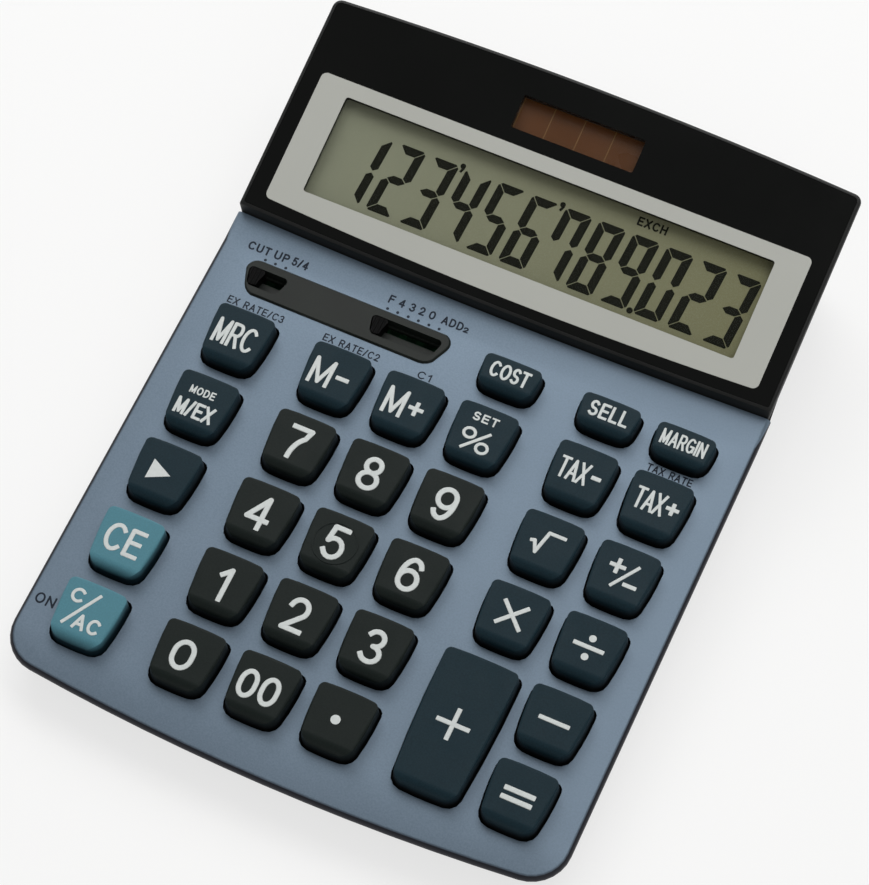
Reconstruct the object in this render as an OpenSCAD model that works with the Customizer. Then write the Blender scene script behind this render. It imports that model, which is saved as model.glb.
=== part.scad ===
// Desk calculator with a raised display, a bent metal fascia, 32 sprung keys
// and two slide switches. Millimetres, +Z up, +Y to the back, desk at z = 0.
// Keypad frame: y from the front edge along the fascia, z = 0 on its top face.
// Display frame: y up the display slope from its front edge, z = 0 on its top.

/* [Case] */
// Overall width
case_w = 151; // [148:1:164]
// Keypad length from the front edge to the step, at the sides
keypad_len = 141; // [141:0.5:150]
// Slope length of the display housing along its middle
display_len = 64.6; // [64:0.2:72]
// Height of the keypad's front edge above the desk
front_h = 12; // [12:0.25:18]
// Slope of the keypad
keypad_tilt = 3; // [2:0.25:5]
// Slope of the display above that of the keypad
display_tilt = 12; // [8:0.5:16]
// Height of the display's front edge above the keypad
step_h = 4.7; // [3.8:0.1:6.5]
// Forward bow of the front edge
front_bow = 4.5; // [2:0.25:6]
// Forward bow of the step
step_bow = 1.3; // [0.6:0.1:2]
// Backward bow of the rear edge
back_bow = 2.2; // [1:0.1:4]
// Front corner radius
front_corner_r = 10.5; // [8:0.5:13]
// Rear corner radius
back_corner_r = 2.4; // [2.2:0.1:5]
// How far each side of the lower body draws in behind the step
rear_in = 4.5; // [2:0.25:6]
// Roundness of the display housing's edge
housing_edge_r = 0.8; // [0.5:0.1:0.9]
// Wall of the upper case
wall_t = 2; // [1.6:0.1:2.4]
// Depth of the parting line below the fascia
parting_d = 5; // [4.6:0.1:5.6]
// Inset of the parting line from the fascia's edge
parting_in = 1.2; // [0.8:0.1:1.6]
// Wall and floor of the lower case
floor_t = 1.8; // [1.4:0.1:2]
// How far the lower case draws in towards the desk
taper_in = 4; // [3:0.25:5]

/* [Fascia] */
// Sheet thickness
sheet_t = 0.8; // [0.6:0.05:1]
// Radius of the rolled edge
roll_r = 1.4; // [1.2:0.1:1.6]
// Depth of the turned-down rim
rim_d = 1.8; // [1.7:0.1:2.2]
// Length of the bent-up strip at the step
strip_len = 8.4; // [6:0.2:9]
// Bend of that strip
strip_bend = 6; // [2:0.5:9]
// Thickness of the deck under the sheet
deck_t = 1.6; // [1.4:0.1:1.8]

/* [Keys] */
// Width of a key where it meets the fascia
key_w = 16; // [14.5:0.1:16.6]
// Width of the tall key
tall_key_w = 19.8; // [19:0.1:20.2]
// How far the tall key stands left of its column
tall_key_off = 1.2; // [1:0.1:1.4]
// Depth of a full key
key_d = 17; // [15:0.1:17.6]
// Depth of a key in the short row
short_key_d = 10.2; // [9:0.1:11]
// Height of a key above the fascia
key_h = 4.6; // [4:0.1:6]
// Key travel
key_travel = 1.5; // [1:0.1:1.8]
// How far each side of a key draws in from back to front
key_taper = 1.6; // [0.4:0.1:1.8]
// Outward bow of a key's sides
key_bow = 0.6; // [0.2:0.05:0.7]
// Rear corner radius of a key
key_back_r = 2.1; // [1.9:0.1:2.6]
// Front corner radius of a key
key_front_r = 3.8; // [2.4:0.1:3.8]
// Slope of a key's sides, in mm per mm of height
key_draft = 0.08; // [0.06:0.01:0.14]
// Roundness of a key's top edge
key_edge_r = 0.8; // [0.6:0.05:1.1]
// Larger round along a key's front
key_nose_r = 2.6; // [2:0.1:3.2]
// Clearance round a key in the deck
key_gap = 0.3; // [0.25:0.05:0.4]
// Lip that holds a key under the deck
key_lip = 1.2; // [1.1:0.05:1.4]
// Flange thickness
flange_t = 0.8; // [0.7:0.05:0.9]
// Pitch between neighbouring columns
col_pitch = 20.6; // [20.5:0.1:21]
// Pitch across the two wide gaps
wide_pitch = 27.4; // [27:0.1:28.5]
// Pitch between rows
row_pitch = 21.2; // [21:0.1:21.6]
// Pitch from the first full row to the short row
short_pitch = 18.2; // [18:0.1:18.6]
// Front row's distance from the front edge
first_row_y = 20.8; // [20:0.1:21.5]
// Outer radius of the raised ring on the middle number key
ring_r = 5.9; // [5.2:0.1:6]

/* [Switches] */
// Length of the oval inset
inset_len = 61; // [61:0.5:63]
// Width of the inset
inset_w = 10.3; // [9.8:0.1:11]
// Left end of the inset
inset_x = -67.6; // [-68:0.1:-67]
// Distance of the inset's axis from the front edge
inset_y = 125.2; // [125:0.1:126]
// Slope of the inset's ends, wider at the back
inset_slope = 22; // [10:1:24]
// Slope of the slots' ends
slot_slope = 14; // [6:1:15]
// How far the inset stands proud
inset_proud = 0.6; // [0.3:0.1:0.8]
// Step from one switch position to the next
switch_step = 2.95; // [2.6:0.05:3]
// Width of a slot
slot_w = 5.6; // [5.2:0.1:6]
// Length of a switch knob
knob_len = 4.6; // [4:0.1:4.8]
// First position of the rounding switch
rounding_x = -62.7; // [-63:0.1:-62]
// First position of the decimal switch
decimal_x = -27.4; // [-28:0.1:-27]

/* [Display] */
// Window thickness
window_t = 1.5; // [1.2:0.1:1.8]
// Rim of the housing round the window
window_rim = 1; // [0.9:0.1:1.6]
// Width of the viewing opening
view_w = 124; // [120:1:126]
// Height of the viewing opening
view_h = 29.8; // [27:0.2:31]
// Front edge of the viewing opening, up the slope
view_y = 8.7; // [8.6:0.1:9.5]
// Thickness of the liquid crystal panel
lcd_t = 2.2; // [1.8:0.1:2.6]
// Margin of the panel round its opening
lcd_margin = 2.6; // [2:0.1:2.8]
// Width of the solar opening
solar_w = 35; // [30:0.5:40]
// Height of the solar opening
solar_h = 10; // [8:0.5:10.5]
// Front edge of the solar opening, up the slope
solar_y = 46; // [46:0.1:47]
// Solar cell thickness
solar_t = 1.1; // [0.8:0.1:1.4]

/* [Base] */
// Foot diameter
foot_d = 10; // [8:0.5:12]
// Height of the case above the desk
foot_h = 1.2; // [1:0.1:1.4]
// Button cell diameter
cell_d = 11.6; // [9.5:0.1:12]
// Button cell thickness
cell_t = 3.1; // [2.5:0.1:3.6]
// Battery cover length
cover_l = 26; // [25:0.5:30]
// Battery cover width
cover_w = 18; // [17:0.5:20]
// Screw shank diameter
screw_d = 2.2; // [1.8:0.1:2.5]
// Screw boss diameter
boss_d = 5; // [4.6:0.1:5.1]

/* [Hidden] */
$fn = 48;
// colours of the number keys, the function keys and the two clearing keys
ink = "#262624";
teal = "#27363b";
pale = "#568f9a";
// case
half_w = case_w / 2;
seat = 0.1;
front_r = bow_r(half_w, front_bow);
step_r = bow_r(half_w, step_bow);
back_r = bow_r(half_w, back_bow);
edge_in = 0.4;
deck_z = -sheet_t;
under_z = -sheet_t - deck_t;
crease_y = keypad_len - strip_len;
// keys
proud = 0.03;
rest_gap = 0.3;
flange_z = under_z - rest_gap;
key_foot = flange_z - flange_t;
key_wall = 1.5;
post_d = 5;
hole_grow = key_gap - key_draft * under_z;
// rubber, board
dome_gap = 0.2;
dome_top = key_foot - dome_gap;
dome_h = key_travel + 1;
dome_d = 9;
sheet_rubber = 0.8;
rubber_top = dome_top - dome_h;
board_top = rubber_top - sheet_rubber;
board_t = 1.2;
board_under = board_top - board_t;
board_front = 9.6;
board_margin = 6.5;
board_half = half_w - board_margin;
board_back = keypad_len - 5;
rubber_break = key_y(1) + key_d / 2 + key_lip + 0.6;
// bosses stand in the two wide gaps between the columns
boss_x = [
    (key_x(0) + key_x(1)) / 2,
    (key_x(3) + key_w / 2 + key_x(4) - tall_key_off - tall_key_w / 2) / 2
];
case_boss_y = [key_y(5) - 6, key_y(1) + 5.4];
board_boss_y = [key_y(3) - 10.6, key_y(1) - 10.6];
boss_hole = screw_d - 0.3;
boss_end = board_under - 0.3;
clear = 0.5;
head_d = 4.4;
head_t = 1.2;
// switches
slot_end = knob_len / 2 + 0.5;
slot_back_r = 1.2;
slot_front_r = 2;
inset_back_r = 3;
inset_front_r = 4.4;
knob_gap = 0.35;
slot_floor = -2.4;
inset_edge = 0.4;
floor_under = slot_floor - 1;
slit_w = 1.8;
slit_y = inset_y + slot_w / 2 - slit_w / 2 - 0.6;
leg_w = slit_w - 0.6;
leg_len = 3.2;
foot_top = floor_under - 0.3;
foot_under = foot_top - 1.2;
// display
housing_half = half_w - 0.4;
housing_y = keypad_len + 0.4;
tongue_len = 5;
tongue_t = 1.2;
tongue_back = 0.7;
tongue_in = 16;
top_t = 1.5;
seat_z = -window_t;
lcd_z = seat_z - top_t;
holder_z = lcd_z - lcd_t;
holder_t = 1.5;
holder_boss_x = housing_half - wall_t - boss_d / 2 - 1.4;
holder_boss_y = [view_y + 4, view_y + view_h - 4];
holder_front = view_y + 0.8;
lcd_back = view_y + view_h + lcd_margin;
holder_back = solar_y + solar_h - 1;
rear_boss_y = housing_y + 48;
rear_boss_x = half_w - 26;
// base
y_mid = reach_y() / 2;
sole_z = foot_h;
floor_z = foot_h + floor_t;
foot_sink = 0.5;
foot_x = half_w - 17;
foot_y = [-y_mid + 20, y_mid - 18];
cell_x = 36;
cell_y = y_mid - 42;
cover_t = 1.6;
cover_gap = 0.25;
box_wall = 1.4;
cell_gap = 0.3;
cell_z = sole_z + cover_t + 0.1;
leaf_t = 0.4;
box_top = cell_z + cell_t + 2 * leaf_t + 1;

// Every key as [column, row]. Row 0 is the short row; row 4.5 is the tall key
// that takes the place of two.
PLACES = concat(
    [for (c = [3:5]) [c, 0]],
    [for (r = [1:3], c = [0:5]) [c, r]],
    [for (c = [0, 1, 2, 3, 5], r = [4, 5]) [c, r]],
    [[4, 4.5]]
);

// Frames and layout

function bow_r(half, bow) = (half * half + bow * bow) / (2 * bow);

// The first and the last two columns stand off by the wide pitch.
function key_x(c) = (c - 2.5) * col_pitch + (c < 1 ? -1 : c > 3 ? 1 : 0) * (wide_pitch - col_pitch);

function key_y(r) = first_row_y + (r < 0.5 ? 4 * row_pitch + short_pitch : (5 - r) * row_pitch);

function key_depth(r) = r == 0 ? short_key_d : r == 4.5 ? key_d + row_pitch : key_d;

function key_width(r) = r == 4.5 ? tall_key_w : key_w;

// Middle of a key; the tall key stands a little left of its column.
function key_at(p) = [key_x(p[0]) - (p[1] == 4.5 ? tall_key_off : 0), key_y(p[1])];

function reach_y() = let (
    y = housing_y + display_len * cos(display_tilt) + housing_edge_r * sin(display_tilt),
    z = step_h + display_len * sin(display_tilt) - housing_edge_r * cos(display_tilt)
) y * cos(keypad_tilt) - z * sin(keypad_tilt);

module on_keypad() {
    translate([0, -y_mid, front_h]) rotate([keypad_tilt, 0, 0]) children();
}

module on_display() {
    on_keypad() translate([0, housing_y, step_h]) rotate([display_tilt, 0, 0]) children();
}

// Outlines

// The last point is left out where the next arc starts on it.
function arc_pts(c, r, a0, a1, n, last = 0) = [
    for (i = [0:n - 1 + last]) let (a = a0 + (a1 - a0) * i / n) [c[0] + r * cos(a), c[1] + r * sin(a)]
];

// Panel with bowed ends and round corners. Its sides are straight to y = turn,
// then draw in by narrow to the back corners.
function panel_pts(half, y0, r0, y1, r1, c0, c1, narrow = 0, turn = 0) = let (
    back = half - narrow,
    f = [half - c0, y0 + r0 - sqrt((r0 - c0) * (r0 - c0) - (half - c0) * (half - c0))],
    b = [back - c1, y1 - r1 + sqrt((r1 - c1) * (r1 - c1) - (back - c1) * (back - c1))],
    fa = atan2(y0 + r0 - f[1], f[0]),
    ba = atan2(b[1] - y1 + r1, b[0]),
    lean = narrow == 0 ? 0 : atan2(narrow, b[1] - turn),
    side = narrow == 0 ? [] : [[half, turn]],
    other = narrow == 0 ? [] : [[-half, turn]]
) concat(
    arc_pts([0, y0 + r0], r0, 180 + fa, 360 - fa, 12),
    arc_pts(f, c0, -fa, 0, 7, 1),
    side,
    arc_pts(b, c1, lean, ba, 5),
    arc_pts([0, y1 - r1], r1, ba, 180 - ba, 12),
    arc_pts([-b[0], b[1]], c1, 180 - ba, 180 - lean, 5, 1),
    other,
    arc_pts([-f[0], f[1]], c0, 180, 180 + fa, 7)
);

function case_pts(inset) = panel_pts(half_w - inset, inset, front_r - inset,
    reach_y() - 1 - inset, back_r - inset, front_corner_r - inset, back_corner_r - min(inset, 2),
    rear_in, housing_y);

function housing_pts(inset) = panel_pts(housing_half - inset, -step_bow + inset, step_r,
    display_len - inset, back_r - inset, 0.6, back_corner_r - min(inset, 2));

// Radius of a key side whose middle stands out by key_bow over a given length.
function side_r(length) = bow_r(length / 2, key_bow);

// Turn of a side that draws in by key_taper over a key of depth d.
function side_turn(d) = atan2(key_taper, d);

// Centres of the arcs of a key's right side, and of its back (s = 1) or front (s = -1).
function side_c(w, d) = (w / 2 - side_r(d)) * [cos(side_turn(d)), -sin(side_turn(d))];

function end_c(w, d, s) = [0, s * (d / 2 - side_r(w))];

// Where two circles cross, on the side that is further right.
function crossing(c1, r1, c2, r2) = let (
    v = c2 - c1,
    n = norm(v),
    a = (r1 * r1 - r2 * r2 + n * n) / (2 * n),
    h = sqrt(r1 * r1 - a * a),
    m = c1 + a / n * v,
    q = h / n * [-v[1], v[0]]
) (m + q)[0] > (m - q)[0] ? m + q : m - q;

// Centre of the round between the right side and the back or front of a key.
function corner_at(w, d, r, s) = crossing(side_c(w, d), side_r(d) - r, end_c(w, d, s), side_r(w) - r);

// Angles at which that round meets the side and the end.
function corner_span(w, d, r, s) = let (
    p = corner_at(w, d, r, s),
    i = p - side_c(w, d),
    e = p - end_c(w, d, s)
) [atan2(i[1], i[0]), atan2(e[1], e[0])];

function flip(p) = [-p[0], p[1]];

function pillow_pts(w, d, rf, rb) = let (
    b = corner_at(w, d, rb, 1),
    f = corner_at(w, d, rf, -1),
    bs = corner_span(w, d, rb, 1),
    fs = corner_span(w, d, rf, -1)
) concat(
    arc_pts(side_c(w, d), side_r(d), fs[0], bs[0], 3),
    arc_pts(b, rb, bs[0], bs[1], 3),
    arc_pts(end_c(w, d, 1), side_r(w), bs[1], 180 - bs[1], 3),
    arc_pts(flip(b), rb, 180 - bs[1], 180 - bs[0], 3),
    arc_pts(flip(side_c(w, d)), side_r(d), 180 - bs[0], 180 - fs[0], 3),
    arc_pts(flip(f), rf, 180 - fs[0], 180 - fs[1], 3),
    arc_pts(end_c(w, d, -1), side_r(w), 180 - fs[1], 360 + fs[1], 3),
    arc_pts(f, rf, 360 + fs[1], 360 + fs[0], 3)
);

// Bar whose ends slope by a degrees, shorter at the front, with round corners.
function taper_pts(x0, x1, y0, y1, a, rb, rf) = let (
    k = (1 + sin(a)) / cos(a),
    bx = rb * k,
    fx = (y1 - y0) * tan(a) + rf / k
) concat(
    arc_pts([x1 - fx, y0 + rf], rf, -90, -a, 4),
    arc_pts([x1 - bx, y1 - rb], rb, -a, 90, 6),
    arc_pts([x0 + bx, y1 - rb], rb, 90, 180 + a, 6),
    arc_pts([x0 + fx, y0 + rf], rf, 180 + a, 270, 4)
);

module slab(pts, z0, z1) {
    translate([0, 0, z0]) linear_extrude(z1 - z0) polygon(pts);
}

module block(x0, x1, y0, y1, z0, z1) {
    translate([x0, y0, z0]) cube([x1 - x0, y1 - y0, z1 - z0]);
}

module rod(p, d, z0, z1) {
    translate([p[0], p[1], z0]) cylinder(d = d, h = z1 - z0);
}

module key_holes(grow, z0, z1) {
    for (p = PLACES)
        translate(key_at(p))
            slab(pillow_pts(key_width(p[1]) + 2 * grow, key_depth(p[1]) + 2 * grow, key_front_r, key_back_r), z0, z1);
}

// Outline of the switch inset, set out by grow.
function inset_pts(grow) = let (
    k = grow * (1 + sin(inset_slope)) / cos(inset_slope),
    half = inset_w / 2 + grow
) taper_pts(inset_x - k, inset_x + inset_len + k, inset_y - half, inset_y + half, inset_slope,
    inset_back_r + grow, inset_front_r + grow);

module oval(grow, z0, z1) {
    slab(inset_pts(grow), z0, z1);
}

module tapped_post(p, z0, z1) {
    difference() {
        rod(p, boss_d, z0, z1);
        rod(p, boss_hole, z0 - 1, z1 - 1);
    }
}

// Fascia: a pan of sheet metal with a rolled edge on three sides

module pan(o, floor_d) {
    r = roll_r - o;
    hull() {
        slab(case_pts(o), -floor_d, -roll_r);
        for (a = [22.5, 45, 67.5, 90])
            slab(case_pts(o + r * (1 - cos(a))), r * sin(a) - roll_r - 0.02, r * sin(a) - roll_r);
    }
}

module bend_up() {
    translate([0, crease_y, 0]) rotate([strip_bend, 0, 0]) translate([0, -crease_y, 0]) children();
}

module pan_span(o, floor_d, y0, y1) {
    intersection() {
        pan(o, floor_d);
        block(-half_w - 1, half_w + 1, y0, y1, -floor_d - 1, 2);
    }
}

// The flat pan and the bent strip run past the crease into each other.
module bent_pan(o, floor_d) {
    union() {
        pan_span(o, floor_d, -5, crease_y + 6);
        bend_up() pan_span(o, floor_d, crease_y - 6, keypad_len + 6);
    }
}

// Everything below the rim of the flat pan and of the strip.
module below_rim() {
    block(-half_w - 2, half_w + 2, -5, keypad_len + 10, -30, -rim_d);
    bend_up() block(-half_w - 2, half_w + 2, crease_y - 20, keypad_len + 12, -30, -rim_d);
}

// Everything behind the step's bowed face.
module behind_step(gap) {
    slab(panel_pts(half_w + 30, housing_y - step_bow - gap, step_r, keypad_len + 90, 1e5, 0.5, 0.5), -30, 30);
}

module keypad_fascia() {
    color("#6c7d94") on_keypad() difference() {
        bent_pan(0, rim_d + 3);
        bent_pan(sheet_t, rim_d + 6);
        below_rim();
        key_holes(hole_grow, -8, 3);
        oval(seat, -8, 3);
        behind_step(seat);
    }
}

// Upper case with the deck and the skirt, and the raised display housing behind it

module housing_outer() {
    hull() {
        translate([0, housing_y, step_h]) rotate([display_tilt, 0, 0]) {
            slab(housing_pts(housing_edge_r), -0.02, 0);
            slab(housing_pts(0.3 * housing_edge_r), -0.32 * housing_edge_r, -0.3 * housing_edge_r);
            slab(housing_pts(0), -housing_edge_r - 0.02, -housing_edge_r);
        }
        slab(housing_foot_pts(0), -parting_d, -parting_d + 0.02);
    }
}

function housing_foot_pts(inset) = panel_pts(half_w - parting_in - inset, housing_y - step_bow + 0.2 + inset,
    step_r, reach_y() - 1 - parting_in - inset, back_r - inset, 0.6, back_corner_r - min(inset, 2),
    rear_in, housing_y + 2);

module housing_inner() {
    hull() {
        translate([0, housing_y, step_h]) rotate([display_tilt, 0, 0])
            slab(housing_pts(wall_t), lcd_z - 0.02, lcd_z);
        slab(housing_foot_pts(wall_t), -parting_d - 1, -parting_d - 0.98);
    }
}

// Outside of the case between the fascia's rim and the parting line.
module skirt() {
    hull() {
        slab(case_pts(edge_in), -rim_d - 0.02, -rim_d);
        slab(case_pts(parting_in), -parting_d, -parting_d + 0.02);
    }
}

// Space under the deck and inside the skirt.
module skirt_inner() {
    hull() {
        slab(case_pts(sheet_t + seat + wall_t), under_z - 0.02, under_z);
        slab(case_pts(parting_in + wall_t), -parting_d - 0.1, -parting_d - 0.08);
    }
}

module upper_case() {
    color("#1d1e1d") on_keypad() union() {
        difference() {
            union() {
                hull() {
                    slab(case_pts(roll_r + seat), deck_z - 0.02, deck_z);
                    slab(case_pts(sheet_t + seat), -rim_d, -roll_r);
                }
                skirt();
                strip_bed();
            }
            skirt_inner();
            behind_step(seat);
            key_holes(hole_grow, -8, 3);
            oval(seat, -8, 3);
        }
        for (x = boss_x) {
            for (y = case_boss_y) tapped_post([x, y], boss_end, under_z + 0.2);
            for (y = board_boss_y) tapped_post([x, y], board_top, under_z + 0.2);
        }
    }
}

module display_housing() {
    color("#1d1e1d") on_keypad() difference() {
        union() {
            difference() {
                union() {
                    intersection() {
                        skirt();
                        behind_step(0);
                    }
                    housing_outer();
                }
                skirt_inner();
                housing_inner();
            }
            tongue();
            for (x = [-rear_boss_x, rear_boss_x]) rear_post(x, rear_boss_y);
            display_posts();
        }
        display_cuts();
    }
}

// Shelf at the foot of the step that hooks under the back edge of the deck.
module tongue() {
    y1 = housing_y + tongue_back;
    half = half_w - tongue_in;
    block(-half, half, y1 - tongue_len, y1, under_z - tongue_t, under_z - 0.05);
    block(-half, half, y1 - 0.8, y1, under_z - tongue_t, under_z + 1);
}

// Wedges that back the bent-up strip of the fascia and close the gap under its rim.
module strip_bed() {
    difference() {
        bend_up() {
            block(-half_w + roll_r + seat, half_w - roll_r - seat, crease_y, keypad_len + 4, deck_z - 1.2, deck_z);
            for (m = [0, 1]) mirror([m, 0, 0])
                block(half_w - sheet_t - wall_t, half_w - edge_in, crease_y, keypad_len + 4, -rim_d - 1, -rim_d);
        }
        behind_step(0);
    }
}

// Posts under the display housing for the screws of the lower case.
module rear_post(x, y) {
    difference() {
        intersection() {
            rod([x, y], boss_d, boss_end, 40);
            housing_outer_core();
        }
        rod([x, y], boss_hole, boss_end - 1, boss_end + 9);
    }
}

// Space under the housing's roof, down to the parting line and below.
module housing_outer_core() {
    translate([0, housing_y, step_h]) rotate([display_tilt, 0, 0])
        block(-half_w, half_w, -60, display_len + 20, -80, lcd_z + 0.2);
}

module display_posts() {
    translate([0, housing_y, step_h]) rotate([display_tilt, 0, 0])
        for (x = [-holder_boss_x, holder_boss_x], y = holder_boss_y)
            tapped_post([x, y], holder_z, lcd_z + 0.2);
}

module display_cuts() {
    translate([0, housing_y, step_h]) rotate([display_tilt, 0, 0]) {
        slab(window_pts(0), seat_z, 2);
        block(-view_w / 2, view_w / 2, view_y, view_y + view_h, lcd_z - 0.5, 2);
        block(-solar_w / 2, solar_w / 2, solar_y, solar_y + solar_h, lcd_z - 0.5, 2);
    }
}

function window_pts(inset) = housing_pts(window_rim + inset);

module display_window() {
    color("#0c0d0c") on_display() slab(window_pts(seat), seat_z, 0);
}

module lcd_panel() {
    glass_t = lcd_t / 2;
    half = view_w / 2 + lcd_margin;
    y0 = view_y - lcd_margin;
    y1 = view_y + view_h + lcd_margin;
    color("#70715f") on_display() union() {
        block(-half, half, y0, y1, lcd_z - glass_t, lcd_z);
        block(-half, half, y0 + 3.4, y1, holder_z, lcd_z - glass_t + 0.01);
    }
}

module solar_cell() {
    m = 1.6;
    color("#4a2a14") on_display()
        block(-solar_w / 2 - m, solar_w / 2 + m, solar_y - m, solar_y + solar_h + m, lcd_z - solar_t, lcd_z);
}

module display_holder() {
    arm = holder_boss_x + boss_d / 2;
    color("#2a2b2a") on_display() difference() {
        union() {
            block(-view_w / 2, view_w / 2, holder_front, lcd_back + 1, holder_z - holder_t, holder_z);
            block(-solar_w / 2 - 2, solar_w / 2 + 2, lcd_back, holder_back, holder_z - holder_t, holder_z);
            for (y = holder_boss_y)
                block(-arm, arm, y - boss_d / 2, y + boss_d / 2, holder_z - holder_t, holder_z);
            block(-solar_w / 2, solar_w / 2, solar_y, holder_back, holder_z - 0.1, lcd_z - solar_t);
            for (x = [-view_w / 3, 0, view_w / 3])
                block(x - 0.8, x + 0.8, holder_front + 2, lcd_back - 1, holder_z - holder_t - 1.5, holder_z - 0.5);
        }
        for (x = [-holder_boss_x, holder_boss_x], y = holder_boss_y)
            rod([x, y], screw_d + 0.3, holder_z - holder_t - 1, holder_z + 1);
    }
}

// Flat ribbons from the display down to the back edge of the board, drawn as a
// side profile in the keypad frame and pulled across the width.
function to_keypad(p) = [
    housing_y + p[0] * cos(display_tilt) - p[1] * sin(display_tilt),
    step_h + p[0] * sin(display_tilt) + p[1] * cos(display_tilt)
];

module ribbon(x0, x1, pts, t) {
    n = len(pts);
    lower = [for (i = [n - 1:-1:0]) [pts[i][0] + t, pts[i][1] - t]];
    translate([x1, 0, 0]) rotate([90, 0, -90]) mirror([1, 0, 0])
        linear_extrude(x1 - x0) polygon(concat(pts, lower));
}

module lcd_ribbon() {
    t = 0.3;
    ledge = lcd_z - lcd_t / 2;
    a = to_keypad([view_y - lcd_margin + 2.8, ledge]);
    b = to_keypad([view_y - lcd_margin + 0.4, ledge]);
    color("#b08a3c") on_keypad() ribbon(-8, 60, [
        a, b, [housing_y + 4, under_z - 1], [board_back + 2, board_top + 1.6],
        [board_back - 2, board_top + t], [board_back - 5, board_top + t]
    ], t);
}

module solar_ribbon() {
    t = 0.3;
    a = to_keypad([solar_y + solar_h + 1.4, lcd_z - solar_t]);
    b = to_keypad([solar_y + solar_h + 0.8, lcd_z - solar_t]);
    color("#c9c6b8") on_keypad() ribbon(1 - solar_w / 2, 7 - solar_w / 2, [
        a, b, [b[0], b[1] - 6], [b[0] - 10, under_z - 1], [board_back + 2, board_top + 1.6],
        [board_back - 1, board_top + t], [board_back - 3, board_top + t]
    ], t);
}

// Board, rubber keypad and what stands on them

function board_posts() = [for (x = boss_x, y = concat(case_boss_y, board_boss_y)) [x, y]];

module main_board() {
    color("#2f5d3a") on_keypad() difference() {
        block(-board_half, board_half, board_front, board_back, board_under, board_top);
        for (x = boss_x) {
            for (y = case_boss_y) rod([x, y], boss_d + 2 * clear, board_under - 1, board_top + 1);
            for (y = board_boss_y) rod([x, y], screw_d + 0.3, board_under - 1, board_top + 1);
        }
        for (s = [-1, 1]) translate([s * board_half, board_front, 0]) rotate([0, 0, 45])
            block(-5, 5, -5, 5, board_under - 1, board_top + 1);
    }
}

module controller_chip() {
    color("#141414") on_keypad() translate([boss_x[0] + 24, key_y(3) - 10.6, board_under - 1])
        cylinder(d1 = 9, d2 = 13, h = 1);
}

module capacitor() {
    d = 5;
    color("#23304a") on_keypad() translate([board_half - 24, board_back + d / 2 + 0.3, board_top - 3]) union() {
        rotate([0, 90, 0]) cylinder(d = d, h = 11);
        block(-5, 0.2, -0.3, 0.3, -0.3, 0.3);
        block(-5, -4.4, -d / 2 - 2, 0.3, -0.3, 0.3);
        block(-5, -4.4, -d / 2 - 2, -d / 2 - 1.4, -0.3, 3 - board_t);
    }
}

module rubber_keypad() {
    x1 = board_half - 1.7;
    x0 = key_x(3) - key_w / 2 - 1;
    y1 = key_y(0) + short_key_d / 2 + 1;
    y0 = key_y(5) - key_d / 2 - 1;
    color("#8d8f8c") on_keypad() difference() {
        union() {
            block(-x1, x1, y0, rubber_break, board_top, rubber_top);
            block(x0, x1, rubber_break - 1, y1, board_top, rubber_top);
            for (p = PLACES)
                translate([key_at(p)[0], key_at(p)[1], rubber_top - 0.2])
                    cylinder(d1 = dome_d, d2 = post_d, h = dome_h + 0.2);
        }
        for (p = PLACES)
            translate([key_at(p)[0], key_at(p)[1], board_top - 1])
                cylinder(d1 = dome_d, d2 = post_d - 1.6, h = dome_h);
        for (p = board_posts()) rod(p, boss_d + 2 * clear, board_top - 1, rubber_top + 1);
    }
}

// Switches

module slot_cut(x, steps) {
    y0 = inset_y - slot_w / 2;
    x1 = x + steps * switch_step;
    union() {
        slab(taper_pts(x - slot_end, x1 + slot_end, y0, y0 + slot_w, slot_slope, slot_back_r, slot_front_r), slot_floor, 3);
        block(x - leg_len / 2 - 0.4, x1 + leg_len / 2 + 0.4,
            slit_y - slit_w / 2, slit_y + slit_w / 2, floor_under - 1, slot_floor + 1);
    }
}

module switch_inset() {
    color("#3a3a36") on_keypad() difference() {
        union() {
            hull() {
                oval(0, floor_under, inset_proud - inset_edge);
                oval(-inset_edge, 0, inset_proud);
            }
            oval(1.2, floor_under, under_z);
        }
        slot_cut(rounding_x, 2);
        slot_cut(decimal_x, 5);
    }
}

// A knob fills its slot from back to front and has the same sloping ends.
module knob(x) {
    h = inset_proud + 0.4;
    y0 = inset_y - slot_w / 2 + knob_gap;
    y1 = inset_y + slot_w / 2 - knob_gap;
    on_keypad() difference() {
        union() {
            slab(taper_pts(x - knob_len / 2, x + knob_len / 2, y0, y1, slot_slope, slot_back_r - knob_gap, 0.8),
                slot_floor + 0.3, h);
            block(x - leg_len / 2, x + leg_len / 2, slit_y - leg_w / 2, slit_y + leg_w / 2,
                foot_under, slot_floor + 0.5);
            block(x - leg_len / 2, x + leg_len / 2, slit_y - 2, slit_y + 2, foot_under, foot_top);
        }
        for (s = [-1, 0, 1]) translate([x + s * 1.1, 0, h + 0.25]) rotate([-90, 0, 0])
            cylinder(d = 0.9, h = 300);
    }
}

module rounding_knob() {
    color("#1b1b1b") knob(rounding_x);
}

module decimal_knob() {
    color("#1b1b1b") knob(decimal_x);
}

module wiper(x) {
    tip = board_top + 0.25;
    color("#c9a24a") on_keypad() union() {
        block(x - 1.4, x + 1.4, slit_y - 1.8, slit_y + 1.8, foot_under - leaf_t, foot_under);
        for (s = [-1, 1]) {
            block(x - 1.4, x - 1, slit_y + s - 0.4, slit_y + s + 0.4, tip, foot_under - leaf_t / 2);
            block(x - 1.4, x + 0.8, slit_y + s - 0.4, slit_y + s + 0.4, tip, tip + leaf_t);
        }
    }
}

module rounding_wiper() {
    wiper(rounding_x);
}

module decimal_wiper() {
    wiper(decimal_x);
}

// Lower case, feet, battery and screws

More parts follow.
